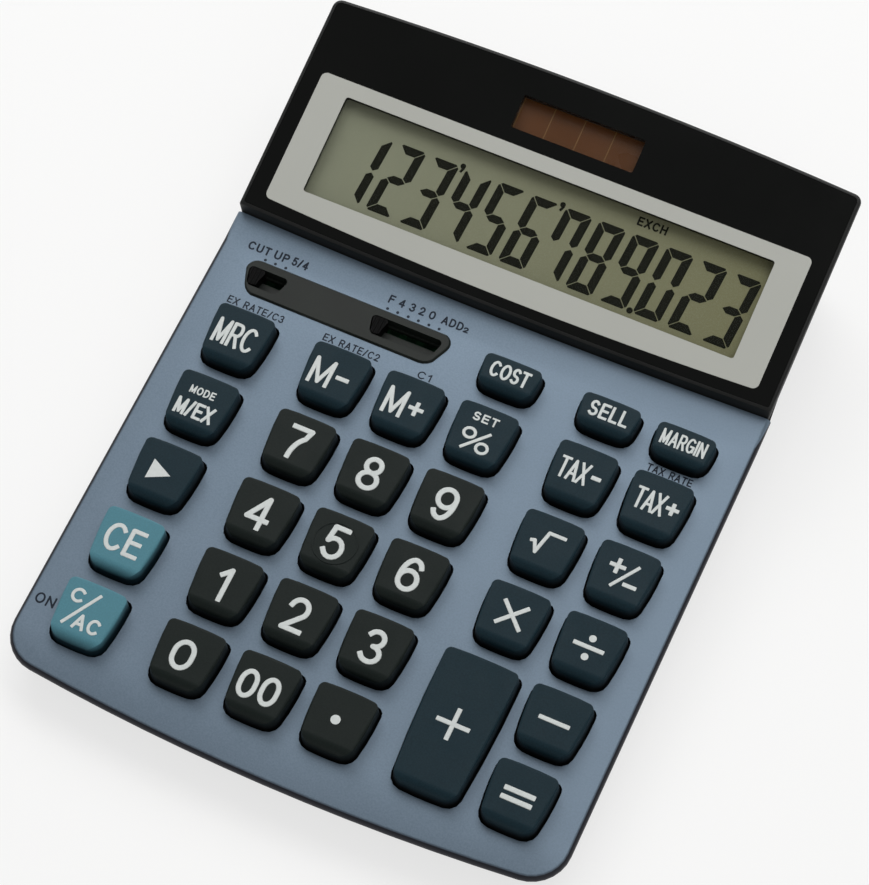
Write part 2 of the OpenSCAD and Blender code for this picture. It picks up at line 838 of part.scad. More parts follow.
function sole_pts(inset) = panel_pts(half_w - parting_in - taper_in - inset, -y_mid + parting_in + taper_in + inset,
    front_r - parting_in - taper_in - inset, y_mid - parting_in - taper_in - inset, back_r,
    front_corner_r - 3 - min(inset, 3), back_corner_r - min(inset, 2), rear_in, housing_y - y_mid);

module lower_case() {
    color("#232423") difference() {
        union() {
            difference() {
                hull() {
                    on_keypad() slab(case_pts(parting_in), -parting_d - 0.02, -parting_d);
                    slab(sole_pts(0), sole_z, sole_z + 0.02);
                }
                hull() {
                    on_keypad() slab(case_pts(parting_in + floor_t), -parting_d - 0.01, -parting_d + 0.5);
                    slab(sole_pts(floor_t * 0.6), floor_z, floor_z + 0.02);
                }
            }
            screw_posts();
            block(cell_x - cover_l / 2 - box_wall, cell_x + cover_l / 2 + box_wall, cell_y - cover_w / 2 - box_wall,
                cell_y + cover_w / 2 + box_wall, sole_z, box_top);
        }
        on_keypad() for (p = screw_places()) {
            rod(p, screw_d + 0.3, -60, 10);
            rod(p, head_d + 0.6, -60, screw_seat(p));
        }
        for (x = [-foot_x, foot_x], y = foot_y) rod([x, y], foot_d + 2 * seat, sole_z - 1, sole_z + foot_sink);
        battery_bay();
    }
}

// Case screws: two pairs under the keypad, one pair under the display.
function screw_places() = concat(
    [for (x = boss_x, y = case_boss_y) [x, y]],
    [for (x = [-rear_boss_x, rear_boss_x]) [x, rear_boss_y]]
);

// Where the head of a case screw seats, in the keypad frame.
function screw_seat(p) = (sole_z - front_h - p[1] * sin(keypad_tilt)) / cos(keypad_tilt) + head_t + 0.6;

module screw_posts() {
    intersection() {
        on_keypad() for (p = screw_places()) rod(p, boss_d + 1.6, -60, boss_end);
        block(-half_w, half_w, -y_mid, y_mid, sole_z + 0.2, 60);
    }
}

module battery_bay() {
    union() {
        block(cell_x - cover_l / 2, cell_x + cover_l / 2, cell_y - cover_w / 2, cell_y + cover_w / 2,
            sole_z - 1, sole_z + cover_t);
        rod([bay_x(), cell_y], cell_d + 2 * cell_gap, sole_z, box_top - 1);
        block(bay_x() - cell_d / 2 - leaf_t - cell_gap, bay_x(), cell_y - 2.4, cell_y + 2.4, sole_z, box_top - 1);
        rod(cover_screw_at(), boss_hole, sole_z, box_top - 1);
    }
}

function bay_x() = cell_x - cover_l / 2 + cell_d / 2 + 2.2;

function cover_screw_at() = [cell_x + cover_l / 2 - 4, cell_y];

module battery_cover() {
    g = cover_gap;
    p = cover_screw_at();
    color("#262726") difference() {
        block(cell_x - cover_l / 2 + g, cell_x + cover_l / 2 - g, cell_y - cover_w / 2 + g, cell_y + cover_w / 2 - g,
            sole_z, sole_z + cover_t);
        rod(p, screw_d + 0.3, sole_z - 1, sole_z + cover_t + 1);
        rod(p, head_d + 0.6, sole_z - 1, sole_z + 0.9);
        translate([bay_x() - 4, cell_y, sole_z - 0.1]) rotate([0, 90, 0]) cylinder(d = 1.2, h = 8);
    }
}

// A pan-head screw that points up, with a cross recess; its seat is at z = 0.
module screw(length) {
    difference() {
        union() {
            translate([0, 0, -head_t]) cylinder(d = head_d, h = head_t);
            translate([0, 0, -0.1]) cylinder(d = screw_d - 0.3, h = length + 0.1);
        }
        for (a = [0, 90]) rotate([0, 0, a]) block(-1.3, 1.3, -0.3, 0.3, -head_t - 1, -head_t + 0.6);
    }
}

module battery_cover_screw() {
    p = cover_screw_at();
    color("#b9bcbe") translate([p[0], p[1], sole_z + 0.9]) difference() {
        union() {
            translate([0, 0, -0.8]) cylinder(d = head_d, h = 0.8);
            translate([0, 0, -0.1]) cylinder(d = boss_hole, h = 4);
        }
        for (a = [0, 90]) rotate([0, 0, a]) block(-1.3, 1.3, -0.3, 0.3, -2, -0.4);
    }
}

module case_screws() {
    color("#b9bcbe") on_keypad() for (p = screw_places())
        translate([p[0], p[1], screw_seat(p)]) screw(boss_end - screw_seat(p) + 5);
}

module board_screws() {
    color("#b9bcbe") on_keypad() for (x = boss_x, y = board_boss_y)
        translate([x, y, board_under]) screw(board_t + 3);
}

module holder_screws() {
    color("#b9bcbe") on_display() for (x = [-holder_boss_x, holder_boss_x], y = holder_boss_y)
        translate([x, y, holder_z - holder_t]) screw(holder_t + 1.4);
}

module rubber_feet() {
    color("#3a3a3a") for (x = [-foot_x, foot_x], y = foot_y) rod([x, y], foot_d, 0, sole_z + foot_sink);
}

module button_cell() {
    color("#c4c7c9") translate([bay_x(), cell_y, cell_z]) union() {
        cylinder(d = cell_d, h = cell_t - 0.4);
        cylinder(d = cell_d - 2.4, h = cell_t);
    }
}

module cell_minus_contact() {
    z = cell_z + cell_t;
    color("#c9a24a") translate([bay_x(), cell_y, 0]) union() {
        rod([0, 0], cell_d - 4, z, z + leaf_t);
        block(-1.5, 1.5, -1.5, 1.5, z, box_top - 1);
    }
}

module cell_plus_contact() {
    color("#c9a24a")
        block(bay_x() - cell_d / 2 - leaf_t, bay_x() - cell_d / 2, cell_y - 2, cell_y + 2, cell_z, box_top - 1);
}

// Keys

// One bowed side: a wide cone whose wall lies on the key's side.
module key_side(r, half, turn) {
    rotate([0, 0, turn]) translate([half - r, 0, key_foot])
        cylinder(r1 = r - key_draft * key_foot, r2 = r - key_draft * key_h, h = key_h - key_foot, $fn = 360);
}

// The sharp corner between the right side and one end, out from the centre of its round.
module corner_wedge(w, d, r, s) {
    c = corner_at(w, d, r, s);
    a = corner_span(w, d, r, s);
    far = 3 * r;
    translate([c[0], c[1], key_foot - 1]) linear_extrude(key_h - key_foot + 2)
        polygon([[0, 0], far * [cos(a[0]), sin(a[0])], [far, s * far], far * [cos(a[1]), sin(a[1])]]);
}

// The cone that rounds the corner, a hair proud so that it crosses the sides.
module corner_round(w, d, r, s) {
    c = corner_at(w, d, r, s);
    translate([c[0], c[1], key_foot])
        cylinder(r1 = r + proud - key_draft * key_foot, r2 = r + proud - key_draft * key_h, h = key_h - key_foot);
}

module key_shell(w, d) {
    t = side_turn(d);
    difference() {
        intersection() {
            key_side(side_r(d), w / 2, -t);
            key_side(side_r(d), w / 2, 180 + t);
            key_side(side_r(w), d / 2, 90);
            key_side(side_r(w), d / 2, 270);
        }
        for (m = [0, 1]) mirror([m, 0, 0]) {
            corner_wedge(w, d, key_back_r, 1);
            corner_wedge(w, d, key_front_r, -1);
        }
    }
    for (m = [0, 1]) mirror([m, 0, 0]) {
        corner_round(w, d, key_back_r, 1);
        corner_round(w, d, key_front_r, -1);
    }
}

// What a round of radius r takes off the top edge on one side of a key.
module edge_cut(half, length, r, turn) {
    x = half - key_draft * (key_h - r) - r;
    rotate([0, 0, turn]) translate([x, length, key_h - r]) rotate([90, 0, 0]) linear_extrude(2 * length) difference() {
        square(2 * r);
        circle(r);
    }
}

// Small rounds on the back and sides, a larger soft one along the front.
module edge_cuts(w, d) {
    edge_cut(d / 2, w, key_nose_r, 270);
    edge_cut(d / 2, w, key_edge_r, 90);
    edge_cut(w / 2, d, key_edge_r, -side_turn(d));
    edge_cut(w / 2, d, key_edge_r, 180 + side_turn(d));
}

module key(c, r, tint) {
    w = key_width(r);
    d = key_depth(r);
    top = key_h - key_wall;
    color(tint) on_keypad() translate(key_at([c, r])) union() {
        difference() {
            union() {
                key_shell(w, d);
                block(-w / 2 - key_lip, w / 2 + key_lip, -d / 2 - key_lip, d / 2 + key_lip, key_foot, flange_z);
            }
            edge_cuts(w, d);
            block(-w / 2 + key_wall + 0.6, w / 2 - key_wall - 0.6, -d / 2 + key_wall + 1.2,
                d / 2 - key_wall - 0.6, key_foot - 1, top);
        }
        rod([0, 0], post_d, key_foot, top + 0.3);
    }
}

module key_cost() { key(3, 0, teal); }
module key_sell() { key(4, 0, teal); }
module key_margin() { key(5, 0, teal); }
module key_recall() { key(0, 1, teal); }
module key_m_minus() { key(1, 1, teal); }
module key_m_plus() { key(2, 1, teal); }
module key_percent() { key(3, 1, teal); }
module key_tax_minus() { key(4, 1, teal); }
module key_tax_plus() { key(5, 1, teal); }
module key_mode() { key(0, 2, teal); }
module key_7() { key(1, 2, ink); }
module key_8() { key(2, 2, ink); }
module key_9() { key(3, 2, ink); }
module key_root() { key(4, 2, teal); }
module key_sign() { key(5, 2, teal); }
module key_shift() { key(0, 3, teal); }
module key_4() { key(1, 3, ink); }
module key_5() {
    key(2, 3, ink);
    color(ink) on_keypad() translate([key_x(2), key_y(3), key_h - 0.2]) difference() {
        cylinder(r = ring_r, h = 0.36);
        translate([0, 0, -1]) cylinder(r = ring_r - 0.5, h = 3);
    }
}
module key_6() { key(3, 3, ink); }
module key_times() { key(4, 3, teal); }
module key_divide() { key(5, 3, teal); }
module key_ce() { key(0, 4, pale); }
module key_1() { key(1, 4, ink); }
module key_2() { key(2, 4, ink); }
module key_3() { key(3, 4, ink); }
module key_plus() { key(4, 4.5, teal); }
module key_minus() { key(5, 4, teal); }
module key_ac() { key(0, 5, pale); }
module key_0() { key(1, 5, ink); }
module key_00() { key(2, 5, ink); }
module key_point() { key(3, 5, ink); }
module key_equals() { key(5, 5, teal); }

upper_case();
display_housing();
lower_case();
keypad_fascia();
display_window();
lcd_panel();
display_holder();
lcd_ribbon();
solar_cell();
solar_ribbon();
main_board();
controller_chip();
capacitor();
rubber_keypad();
switch_inset();
rounding_knob();
decimal_knob();
rounding_wiper();
decimal_wiper();
button_cell();
cell_plus_contact();
cell_minus_contact();
battery_cover();
battery_cover_screw();
case_screws();
board_screws();
holder_screws();
rubber_feet();
key_cost();
key_sell();
key_margin();
key_recall();
key_m_minus();
key_m_plus();
key_percent();
key_tax_minus();
key_tax_plus();
key_mode();
key_7();
key_8();
key_9();
key_root();
key_sign();
key_shift();
key_4();
key_5();
key_6();
key_times();
key_divide();
key_ce();
key_1();
key_2();
key_3();
key_plus();
key_minus();
key_ac();
key_0();
key_00();
key_point();
key_equals();
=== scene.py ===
"""Looks of a desk calculator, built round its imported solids. Metres, +Z up, +Y to the back."""
import logging
import math
from dataclasses import dataclass, field
from enum import Enum
from typing import Any, Dict, List, Optional, Sequence, Tuple, Union

import bpy
from mathutils import Matrix, Vector


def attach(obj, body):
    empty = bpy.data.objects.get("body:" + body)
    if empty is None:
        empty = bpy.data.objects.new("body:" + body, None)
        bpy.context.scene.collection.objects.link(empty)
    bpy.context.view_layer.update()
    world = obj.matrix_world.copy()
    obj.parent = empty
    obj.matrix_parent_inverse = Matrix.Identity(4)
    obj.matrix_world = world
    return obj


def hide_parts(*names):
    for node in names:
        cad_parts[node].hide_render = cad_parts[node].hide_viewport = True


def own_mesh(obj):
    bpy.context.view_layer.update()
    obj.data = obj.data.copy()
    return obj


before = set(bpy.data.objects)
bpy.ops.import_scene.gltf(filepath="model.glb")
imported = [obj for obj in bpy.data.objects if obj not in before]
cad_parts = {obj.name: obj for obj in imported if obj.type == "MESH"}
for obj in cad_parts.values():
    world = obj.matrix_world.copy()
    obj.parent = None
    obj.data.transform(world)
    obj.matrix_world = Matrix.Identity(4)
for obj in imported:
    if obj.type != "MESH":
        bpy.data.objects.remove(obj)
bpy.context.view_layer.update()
LOG = logging.getLogger("desk_calculator")
MM = 0.001
BASE = "base"

Colour = Tuple[float, float, float, float]
Place = Tuple[float, float, float]
Point = Tuple[float, float]
Pair = Tuple[float, float]
Piece = bpy.types.Object
Tree = bpy.types.NodeTree
Socket = bpy.types.NodeSocket


def linear(code: str) -> Colour:
    """Turn an sRGB hex value into a linear colour.

    Args:
        code: Six hex digits, with or without a leading hash.

    Returns:
        Red, green, blue and alpha in linear light.
    """
    digits = code.lstrip("#")
    parts = [int(digits[i:i + 2], 16) / 255 for i in (0, 2, 4)]
    light = [c / 12.92 if c <= 0.04045 else ((c + 0.055) / 1.055) ** 2.4 for c in parts]
    return (light[0], light[1], light[2], 1.0)


WHITE = linear("#ffffff")


def per_mm(size: float) -> float:
    """Pattern scale that gives one feature for each length of that many millimetres."""
    return 1000.0 / size


def add_node(tree: Tree, kind: str, settings: Optional[Dict[str, Any]] = None,
             inputs: Optional[Dict[Any, Any]] = None) -> bpy.types.Node:
    """Add one shader node with its settings, values and links.

    Args:
        tree: Node tree that takes the node.
        kind: Blender's name for the node type.
        settings: Properties to set on the node.
        inputs: Socket name or number, with a value or the output to link from.

    Returns:
        The new node.
    """
    node = tree.nodes.new(kind)
    for key, value in (settings or {}).items():
        setattr(node, key, value)
    for key, value in (inputs or {}).items():
        if isinstance(value, Socket):
            tree.links.new(value, node.inputs[key])
        else:
            node.inputs[key].default_value = value
    return node


def new_material(name: str) -> bpy.types.Material:
    """Make a material whose node tree is empty."""
    made = bpy.data.materials.new(name)
    made.use_nodes = True
    made.node_tree.nodes.clear()
    return made


class Plane(Enum):
    """The three flat faces that pieces are laid on."""

    KEYPAD = "keypad"
    STRIP = "strip"
    DISPLAY = "display"


@dataclass(frozen=True)
class Layout:
    """Where the keypad, the bent strip and the display lie, in millimetres and degrees."""

    front_y: float = -101.783
    front_z: float = 12.0
    keypad_tilt: float = 3.0
    crease_y: float = 132.6
    strip_bend: float = 6.0
    housing_y: float = 141.4
    step_h: float = 4.7
    display_tilt: float = 12.0

    def matrix(self, plane: Plane) -> Matrix:
        """Give the matrix from a plane's own millimetres to the world's metres.

        Args:
            plane: The face that is asked for.

        Returns:
            A matrix whose input is in millimetres.
        """
        keypad = Matrix.Translation((0, self.front_y, self.front_z)) @ self.turn(self.keypad_tilt)
        local = Matrix.Identity(4)
        if plane is Plane.STRIP:
            local = Matrix.Translation((0, self.crease_y, 0)) @ self.turn(self.strip_bend)
            local = local @ Matrix.Translation((0, -self.crease_y, 0))
        if plane is Plane.DISPLAY:
            local = Matrix.Translation((0, self.housing_y, self.step_h)) @ self.turn(self.display_tilt)
        return Matrix.Scale(MM, 4) @ keypad @ local

    def turn(self, degrees: float) -> Matrix:
        """Rotation about the width of the case."""
        return Matrix.Rotation(math.radians(degrees), 4, "X")


LAYOUT = Layout()


# Finishes


# Where most of a cloud pattern's values lie, and the whole of a pattern
MIDDLE: Pair = (0.3, 0.7)
WHOLE: Pair = (0.0, 1.0)
SPECULAR = "Specular IOR Level"


@dataclass(frozen=True)
class Surface:
    """The nodes of one material, and the shader whose colour, gloss and relief a finish sets."""

    tree: Tree
    shader: bpy.types.Node

    def clouds(self, size: float, detail: float = 2.0) -> Socket:
        """A cloudy or grainy pattern on Object coordinates.

        Args:
            size: Size of one cloud or grain in millimetres.
            detail: Octaves of finer clouds in it.

        Returns:
            The pattern, from 0 to 1.
        """
        coords = add_node(self.tree, "ShaderNodeTexCoord")
        noise = add_node(self.tree, "ShaderNodeTexNoise", None, {
            "Vector": coords.outputs["Object"], "Scale": per_mm(size), "Detail": detail,
        })
        return noise.outputs["Fac"]

    def frame_of(self, plane: Plane) -> Socket:
        """Object coordinates turned into a plane's own frame, in metres.

        Args:
            plane: The face whose frame is wanted.

        Returns:
            A vector output: x across, y up the plane, z off it.
        """
        back = LAYOUT.matrix(plane).inverted()
        coords = add_node(self.tree, "ShaderNodeTexCoord")
        mapping = add_node(self.tree, "ShaderNodeMapping", {"vector_type": "POINT"}, {
            "Vector": coords.outputs["Object"],
            "Location": back.to_translation() * MM,
            "Rotation": back.to_euler(),
        })
        return mapping.outputs["Vector"]

    def along(self, plane: Plane, axis: str) -> Socket:
        """Place along one axis of a plane's own frame, in metres."""
        parts = add_node(self.tree, "ShaderNodeSeparateXYZ", None, {"Vector": self.frame_of(plane)})
        return parts.outputs[axis]

    def tint(self, pattern: Socket, first: Union[str, Socket], second: Union[str, Socket],
             source: Pair = MIDDLE, most: float = 1.0) -> Socket:
        """Go from one colour to another with a pattern.

        Args:
            pattern: Pattern that leads.
            first: Hex colour or output at the start of the range.
            second: Hex colour or output at its end.
            source: Range of the pattern over which the colour changes.
            most: Largest share of the second colour.

        Returns:
            The colour.
        """
        share = add_node(self.tree, "ShaderNodeMapRange", {"clamp": True}, {
            "Value": pattern, "From Min": source[0], "From Max": source[1], "To Min": 0.0, "To Max": most,
        })
        ends = [linear(end) if isinstance(end, str) else end for end in (first, second)]
        mixed = add_node(self.tree, "ShaderNodeMix", {"data_type": "RGBA"}, {
            0: share.outputs["Result"], 6: ends[0], 7: ends[1],
        })
        return mixed.outputs[2]

    def paint(self, colour: Socket, values: Optional[Dict[str, float]] = None) -> None:
        """Give the shader its colour and its plain values.

        Args:
            colour: Output for its base colour.
            values: Value of each other socket, by name.
        """
        self.tree.links.new(colour, self.shader.inputs["Base Color"])
        for name, value in (values or {}).items():
            self.shader.inputs[name].default_value = value

    def gloss(self, pattern: Socket, roughness: float, drift: Pair) -> None:
        """Let the roughness drift with a pattern.

        Args:
            pattern: Pattern that leads.
            roughness: Typical roughness.
            drift: Change from it at the pattern's low end and at its high end.
        """
        rough = add_node(self.tree, "ShaderNodeMapRange", {"clamp": True}, {
            "Value": pattern, "From Min": MIDDLE[0], "From Max": MIDDLE[1],
            "To Min": roughness + drift[0], "To Max": roughness + drift[1],
        })
        self.tree.links.new(rough.outputs["Result"], self.shader.inputs["Roughness"])

    def relief(self, pattern: Socket, depth: float, strength: float = 1.0) -> None:
        """Raise the surface by a pattern.

        Args:
            pattern: Pattern from 0 to 1.
            depth: Its depth in millimetres.
            strength: Share of the relief that is used.
        """
        bump = add_node(self.tree, "ShaderNodeBump", None, {
            "Height": pattern, "Distance": depth * MM, "Strength": strength,
        })
        self.tree.links.new(bump.outputs["Normal"], self.shader.inputs["Normal"])


@dataclass(frozen=True)
class Finish:
    """A surface finish. Each kind lays its own patterns on one Principled shader."""

    name: str

    def material(self) -> bpy.types.Material:
        """Give this finish's material, made on first use.

        Returns:
            The material of that name.
        """
        known = bpy.data.materials.get(self.name)
        if known:
            return known
        made = new_material(self.name)
        self.build(made.node_tree)
        return made

    def build(self, tree: Tree) -> None:
        """Show a Principled shader and dress it."""
        shader = add_node(tree, "ShaderNodeBsdfPrincipled")
        add_node(tree, "ShaderNodeOutputMaterial", None, {"Surface": shader.outputs["BSDF"]})
        self.dress(Surface(tree, shader))

    def dress(self, surface: Surface) -> None:
        """Lay the finish's own patterns on the surface; each kind gives its own."""
        raise NotImplementedError


@dataclass(frozen=True)
class MouldedPlastic(Finish):
    """ABS from a spark-eroded mould: dull sheen and a fine pebble that breaks up highlights."""

    colour: str = "#121312"
    worn: str = "#191a19"
    roughness: float = 0.46
    specular: float = 0.25
    grain: float = 0.5
    depth: float = 0.012
    cloud: float = 14.0
    drift: Pair = (-0.04, 0.04)

    def dress(self, surface: Surface) -> None:
        """Pebble relief, cloudy colour and gloss. The 0.1 mm grain is drawn coarser, so that it shows."""
        cloud = surface.clouds(self.cloud, detail=3.0)
        surface.paint(surface.tint(cloud, self.colour, self.worn), {SPECULAR: self.specular})
        surface.gloss(cloud, self.roughness, self.drift)
        surface.relief(surface.clouds(self.grain, detail=1.0), self.depth)


@dataclass(frozen=True)
class KeyCap(Finish):
    """Matt moulded key: coloured crown over a black skirt, with a fine satin grain; the skirt colour is also
    painted shade on the key's sides and front.
    """

    crown: str
    skirt_and_shade: str
    fade_low: float = 1.2
    fade_high: float = 3.6
    roughness: float = 0.5
    specular: float = 0.12
    grain: float = 0.4
    depth: float = 0.008
    fleck: float = 0.14
    cloud: float = 6.0
    drift: Pair = (-0.07, 0.05)

    def dress(self, surface: Surface) -> None:
        """Colour by height above the fascia: partly the key's two colours, partly painted shade that darkens
        its lower sides and front. Grain in it, and gloss that finger wear has made uneven.
        """
        grain = surface.clouds(self.grain, detail=1.0)
        speckle = add_node(surface.tree, "ShaderNodeMapRange", {"clamp": True}, {
            "Value": grain, "From Min": MIDDLE[0], "From Max": MIDDLE[1],
            "To Min": 1.0 - self.fleck, "To Max": 1.0 + self.fleck,
        })
        crown = add_node(surface.tree, "ShaderNodeMix", {"data_type": "RGBA", "blend_type": "MULTIPLY"}, {
            0: 1.0, 6: linear(self.crown), 7: speckle.outputs["Result"],
        })
        # Painted shade in part: the key darkens towards the fascia as well as turning to its black skirt.
        fade = (self.fade_low * MM, self.fade_high * MM)
        height = surface.along(Plane.KEYPAD, "Z")
        surface.paint(surface.tint(height, self.skirt_and_shade, crown.outputs[2], fade), {SPECULAR: self.specular})
        surface.gloss(surface.clouds(self.cloud), self.roughness, self.drift)
        surface.relief(grain, self.depth)


@dataclass(frozen=True)
class SatinSheet(Finish):
    """Aluminium sheet, bead blasted and anodised blue grey: a fine sparkle, and painted shade that darkens
    the rolled edge below the flat.
    """

    colour: str = "#60707f"
    bright: str = "#6c7c8b"
    # Painted shade on the rolled edge: the dark colour, and the heights below the flat over which the sheet
    # fades to it, in millimetres.
    edge: str = "#191a22"
    shade_top: float = -0.02
    shade_low: float = -0.17
    metallic: float = 0.5
    roughness: float = 0.45
    flake: float = 0.45
    depth: float = 0.006
    cloud: float = 30.0
    flake_share: float = 0.7
    cloud_share: float = 0.3
    drift: Pair = (-0.05, 0.05)

    def dress(self, surface: Surface) -> None:
        """Sparkle in the colour and gloss. The blasted grain is drawn coarser than real, so that it shows."""
        flake = surface.clouds(self.flake, detail=1.0)
        shares = [add_node(surface.tree, "ShaderNodeMapRange", {"clamp": True}, {
            "Value": pattern, "From Min": MIDDLE[0], "From Max": MIDDLE[1], "To Min": 0.0, "To Max": most,
        }) for pattern, most in ((flake, self.flake_share), (surface.clouds(self.cloud), self.cloud_share))]
        sparkle = add_node(surface.tree, "ShaderNodeMath", {"operation": "ADD"}, {
            0: shares[0].outputs["Result"], 1: shares[1].outputs["Result"],
        })
        face = surface.tint(sparkle.outputs["Value"], self.colour, self.bright, WHOLE)
        # Painted shade: the turned-down edge darkens with its depth below the flat.
        shade_band = (self.shade_low * MM, self.shade_top * MM)
        height = surface.along(Plane.KEYPAD, "Z")
        surface.paint(surface.tint(height, self.edge, face, shade_band), {"Metallic": self.metallic})
        surface.gloss(flake, self.roughness, self.drift)
        surface.relief(flake, self.depth)


@dataclass(frozen=True)
class GlossSheet(Finish):
    """Acrylic window printed on its back: flat colour under a polished face with the faintest haze."""

    colour: str = "#060706"
    deep: str = "#0a0b0a"
    roughness: float = 0.09
    specular: float = 0.16
    ior: float = 1.49
    haze: float = 22.0
    wave: float = 60.0
    wave_depth: float = 0.02
    wave_share: float = 0.4
    drift: Pair = (0.0, 0.06)

    def dress(self, surface: Surface) -> None:
        """Even print, haze from wiping, and the slow waviness of a moulded sheet."""
        haze = surface.clouds(self.haze, detail=4.0)
        colour = surface.tint(haze, self.colour, self.deep, WHOLE)
        surface.paint(colour, {"IOR": self.ior, SPECULAR: self.specular})
        surface.gloss(haze, self.roughness, self.drift)
        surface.relief(surface.clouds(self.wave, detail=0.0), self.wave_depth, self.wave_share)


@dataclass(frozen=True)
class ClearSheet(Finish):
    """Clear acrylic over an opening: seen through, with a polished reflection."""

    tint: str = "#fcfdfc"
    roughness: float = 0.05
    ior: float = 1.16
    haze: float = 18.0
    drift: Pair = (0.0, 0.05)

    def build(self, tree: Tree) -> None:
        """Mix see-through with gloss by Fresnel, with gloss on the outer faces alone.

        Args:
            tree: The material's node tree.
        """
        clear = add_node(tree, "ShaderNodeBsdfTransparent", None, {"Color": linear(self.tint)})
        gloss = add_node(tree, "ShaderNodeBsdfAnisotropic", None, {"Color": WHITE})
        surface = Surface(tree, gloss)
        surface.gloss(surface.clouds(self.haze, detail=3.0), self.roughness, self.drift)
        fresnel = add_node(tree, "ShaderNodeFresnel", None, {"IOR": self.ior})
        inner = add_node(tree, "ShaderNodeNewGeometry").outputs["Backfacing"]
        outer = add_node(tree, "ShaderNodeMath", {"operation": "SUBTRACT"}, {0: 1.0, 1: inner})
        share = add_node(tree, "ShaderNodeMath", {"operation": "MULTIPLY"}, {
            0: fresnel.outputs["Fac"], 1: outer.outputs["Value"],
        })
        mixed = add_node(tree, "ShaderNodeMixShader", None, {
            0: share.outputs["Value"], 1: clear.outputs["BSDF"], 2: gloss.outputs["BSDF"],
        })
        add_node(tree, "ShaderNodeOutputMaterial", None, {"Surface": mixed.outputs["Shader"]})


@dataclass(frozen=True)
class LiquidCrystal(Finish):
    """Polariser film over a brushed reflector: grey green, warmer to the right, with a faint sparkle."""

    left: str = "#888976"
    right: str = "#787556"
    glint: str = "#93947f"
    half: float = 60.0
    roughness: float = 0.5
    specular: float = 0.2
    sparkle: float = 0.4
    sparkle_range: Pair = (0.45, 0.8)
    sparkle_share: float = 0.3
    cloud: float = 9.0
    drift: Pair = (-0.05, 0.05)

    def dress(self, surface: Surface) -> None:
        """Tone across the panel, with the reflector's fine sparkle drawn coarse enough to show."""
        across = surface.along(Plane.DISPLAY, "X")
        tone = surface.tint(across, self.left, self.right, (-self.half * MM, self.half * MM))
        sparkle = surface.clouds(self.sparkle)
        colour = surface.tint(sparkle, tone, self.glint, self.sparkle_range, self.sparkle_share)
        surface.paint(colour, {SPECULAR: self.specular})
        surface.gloss(surface.clouds(self.cloud), self.roughness, self.drift)


@dataclass(frozen=True)
class SolarFilm(Finish):
    """Amorphous silicon on glass: brown film in four cells parted by fine scribed lines."""

    film: str = "#532d09"
    ruddy: str = "#5a3007"
    scribe: str = "#75552f"
    width: float = 34.5
    cells: int = 4
    line: float = 0.28
    roughness: float = 0.25
    specular: float = 0.3
    cloud: float = 16.0
    drift: Pair = (0.0, 0.1)

    def dress(self, surface: Surface) -> None:
        """Scribed lines by place, and film whose thickness drifts in colour."""
        half_cell = self.width / self.cells * MM / 2
        fold = add_node(surface.tree, "ShaderNodeMath", {"operation": "PINGPONG"}, {
            0: surface.along(Plane.DISPLAY, "X"), 1: half_cell,
        })
        edge = add_node(surface.tree, "ShaderNodeMath", {"operation": "LESS_THAN"}, {
            0: fold.outputs["Value"], 1: self.line / 2 * MM,
        })
        cloud = surface.clouds(self.cloud, detail=3.0)
        film = surface.tint(cloud, self.film, self.ruddy)
        colour = surface.tint(edge.outputs["Value"], film, self.scribe, WHOLE)
        surface.paint(colour, {SPECULAR: self.specular})
        surface.gloss(cloud, self.roughness, self.drift)


@dataclass(frozen=True)
class PrintInk(Finish):
    """Screen-printed ink: matt, a little uneven where the mesh laid it down."""

    colour: str = "#d4d9d7"
    thin: str = "#ccd1cf"
    roughness: float = 0.55
    specular: float = 0.3
    blot: float = 0.9
    depth: float = 0.004
    drift: Pair = (-0.05, 0.08)

    def dress(self, surface: Surface) -> None:
        """Blotches of thinner ink, and the print's slight tooth."""
        blot = surface.clouds(self.blot, detail=3.0)
        surface.paint(surface.tint(blot, self.colour, self.thin), {SPECULAR: self.specular})
        surface.gloss(blot, self.roughness, self.drift)
        surface.relief(blot, self.depth)


@dataclass(frozen=True)
class SoftRubber(Finish):
    """Moulded silicone, foot rubber or potting resin: dull, with clouds of dust."""

    colour: str = "#2c2c2c"
    dusty: str = "#3a3a39"
    roughness: float = 0.75
    specular: float = 0.25
    dust: float = 3.0
    pebble: float = 0.6
    depth: float = 0.02
    drift: Pair = (-0.08, 0.08)

    def dress(self, surface: Surface) -> None:
        """Dust clouds and a soft pebble."""
        dust = surface.clouds(self.dust, detail=4.0)
        surface.paint(surface.tint(dust, self.colour, self.dusty), {SPECULAR: self.specular})
        surface.gloss(dust, self.roughness, self.drift)
        surface.relief(surface.clouds(self.pebble, detail=1.0), self.depth)


@dataclass(frozen=True)
class PlatedMetal(Finish):
    """Plated steel or spring brass: bright, with fine rubbing marks."""

    colour: str = "#b9bcbe"
    tarnish: str = "#8f9294"
    roughness: float = 0.3
    cloud: float = 2.5
    tarnish_share: float = 0.6
    mark: float = 0.5
    depth: float = 0.004
    drift: Pair = (-0.08, 0.1)

    def dress(self, surface: Surface) -> None:
        """Tarnish in clouds, and rubbing marks in the gloss."""
        cloud = surface.clouds(self.cloud, detail=3.0)
        marks = surface.clouds(self.mark)
        colour = surface.tint(cloud, self.colour, self.tarnish, most=self.tarnish_share)
        surface.paint(colour, {"Metallic": 1.0})
        surface.gloss(marks, self.roughness, self.drift)
        surface.relief(marks, self.depth)


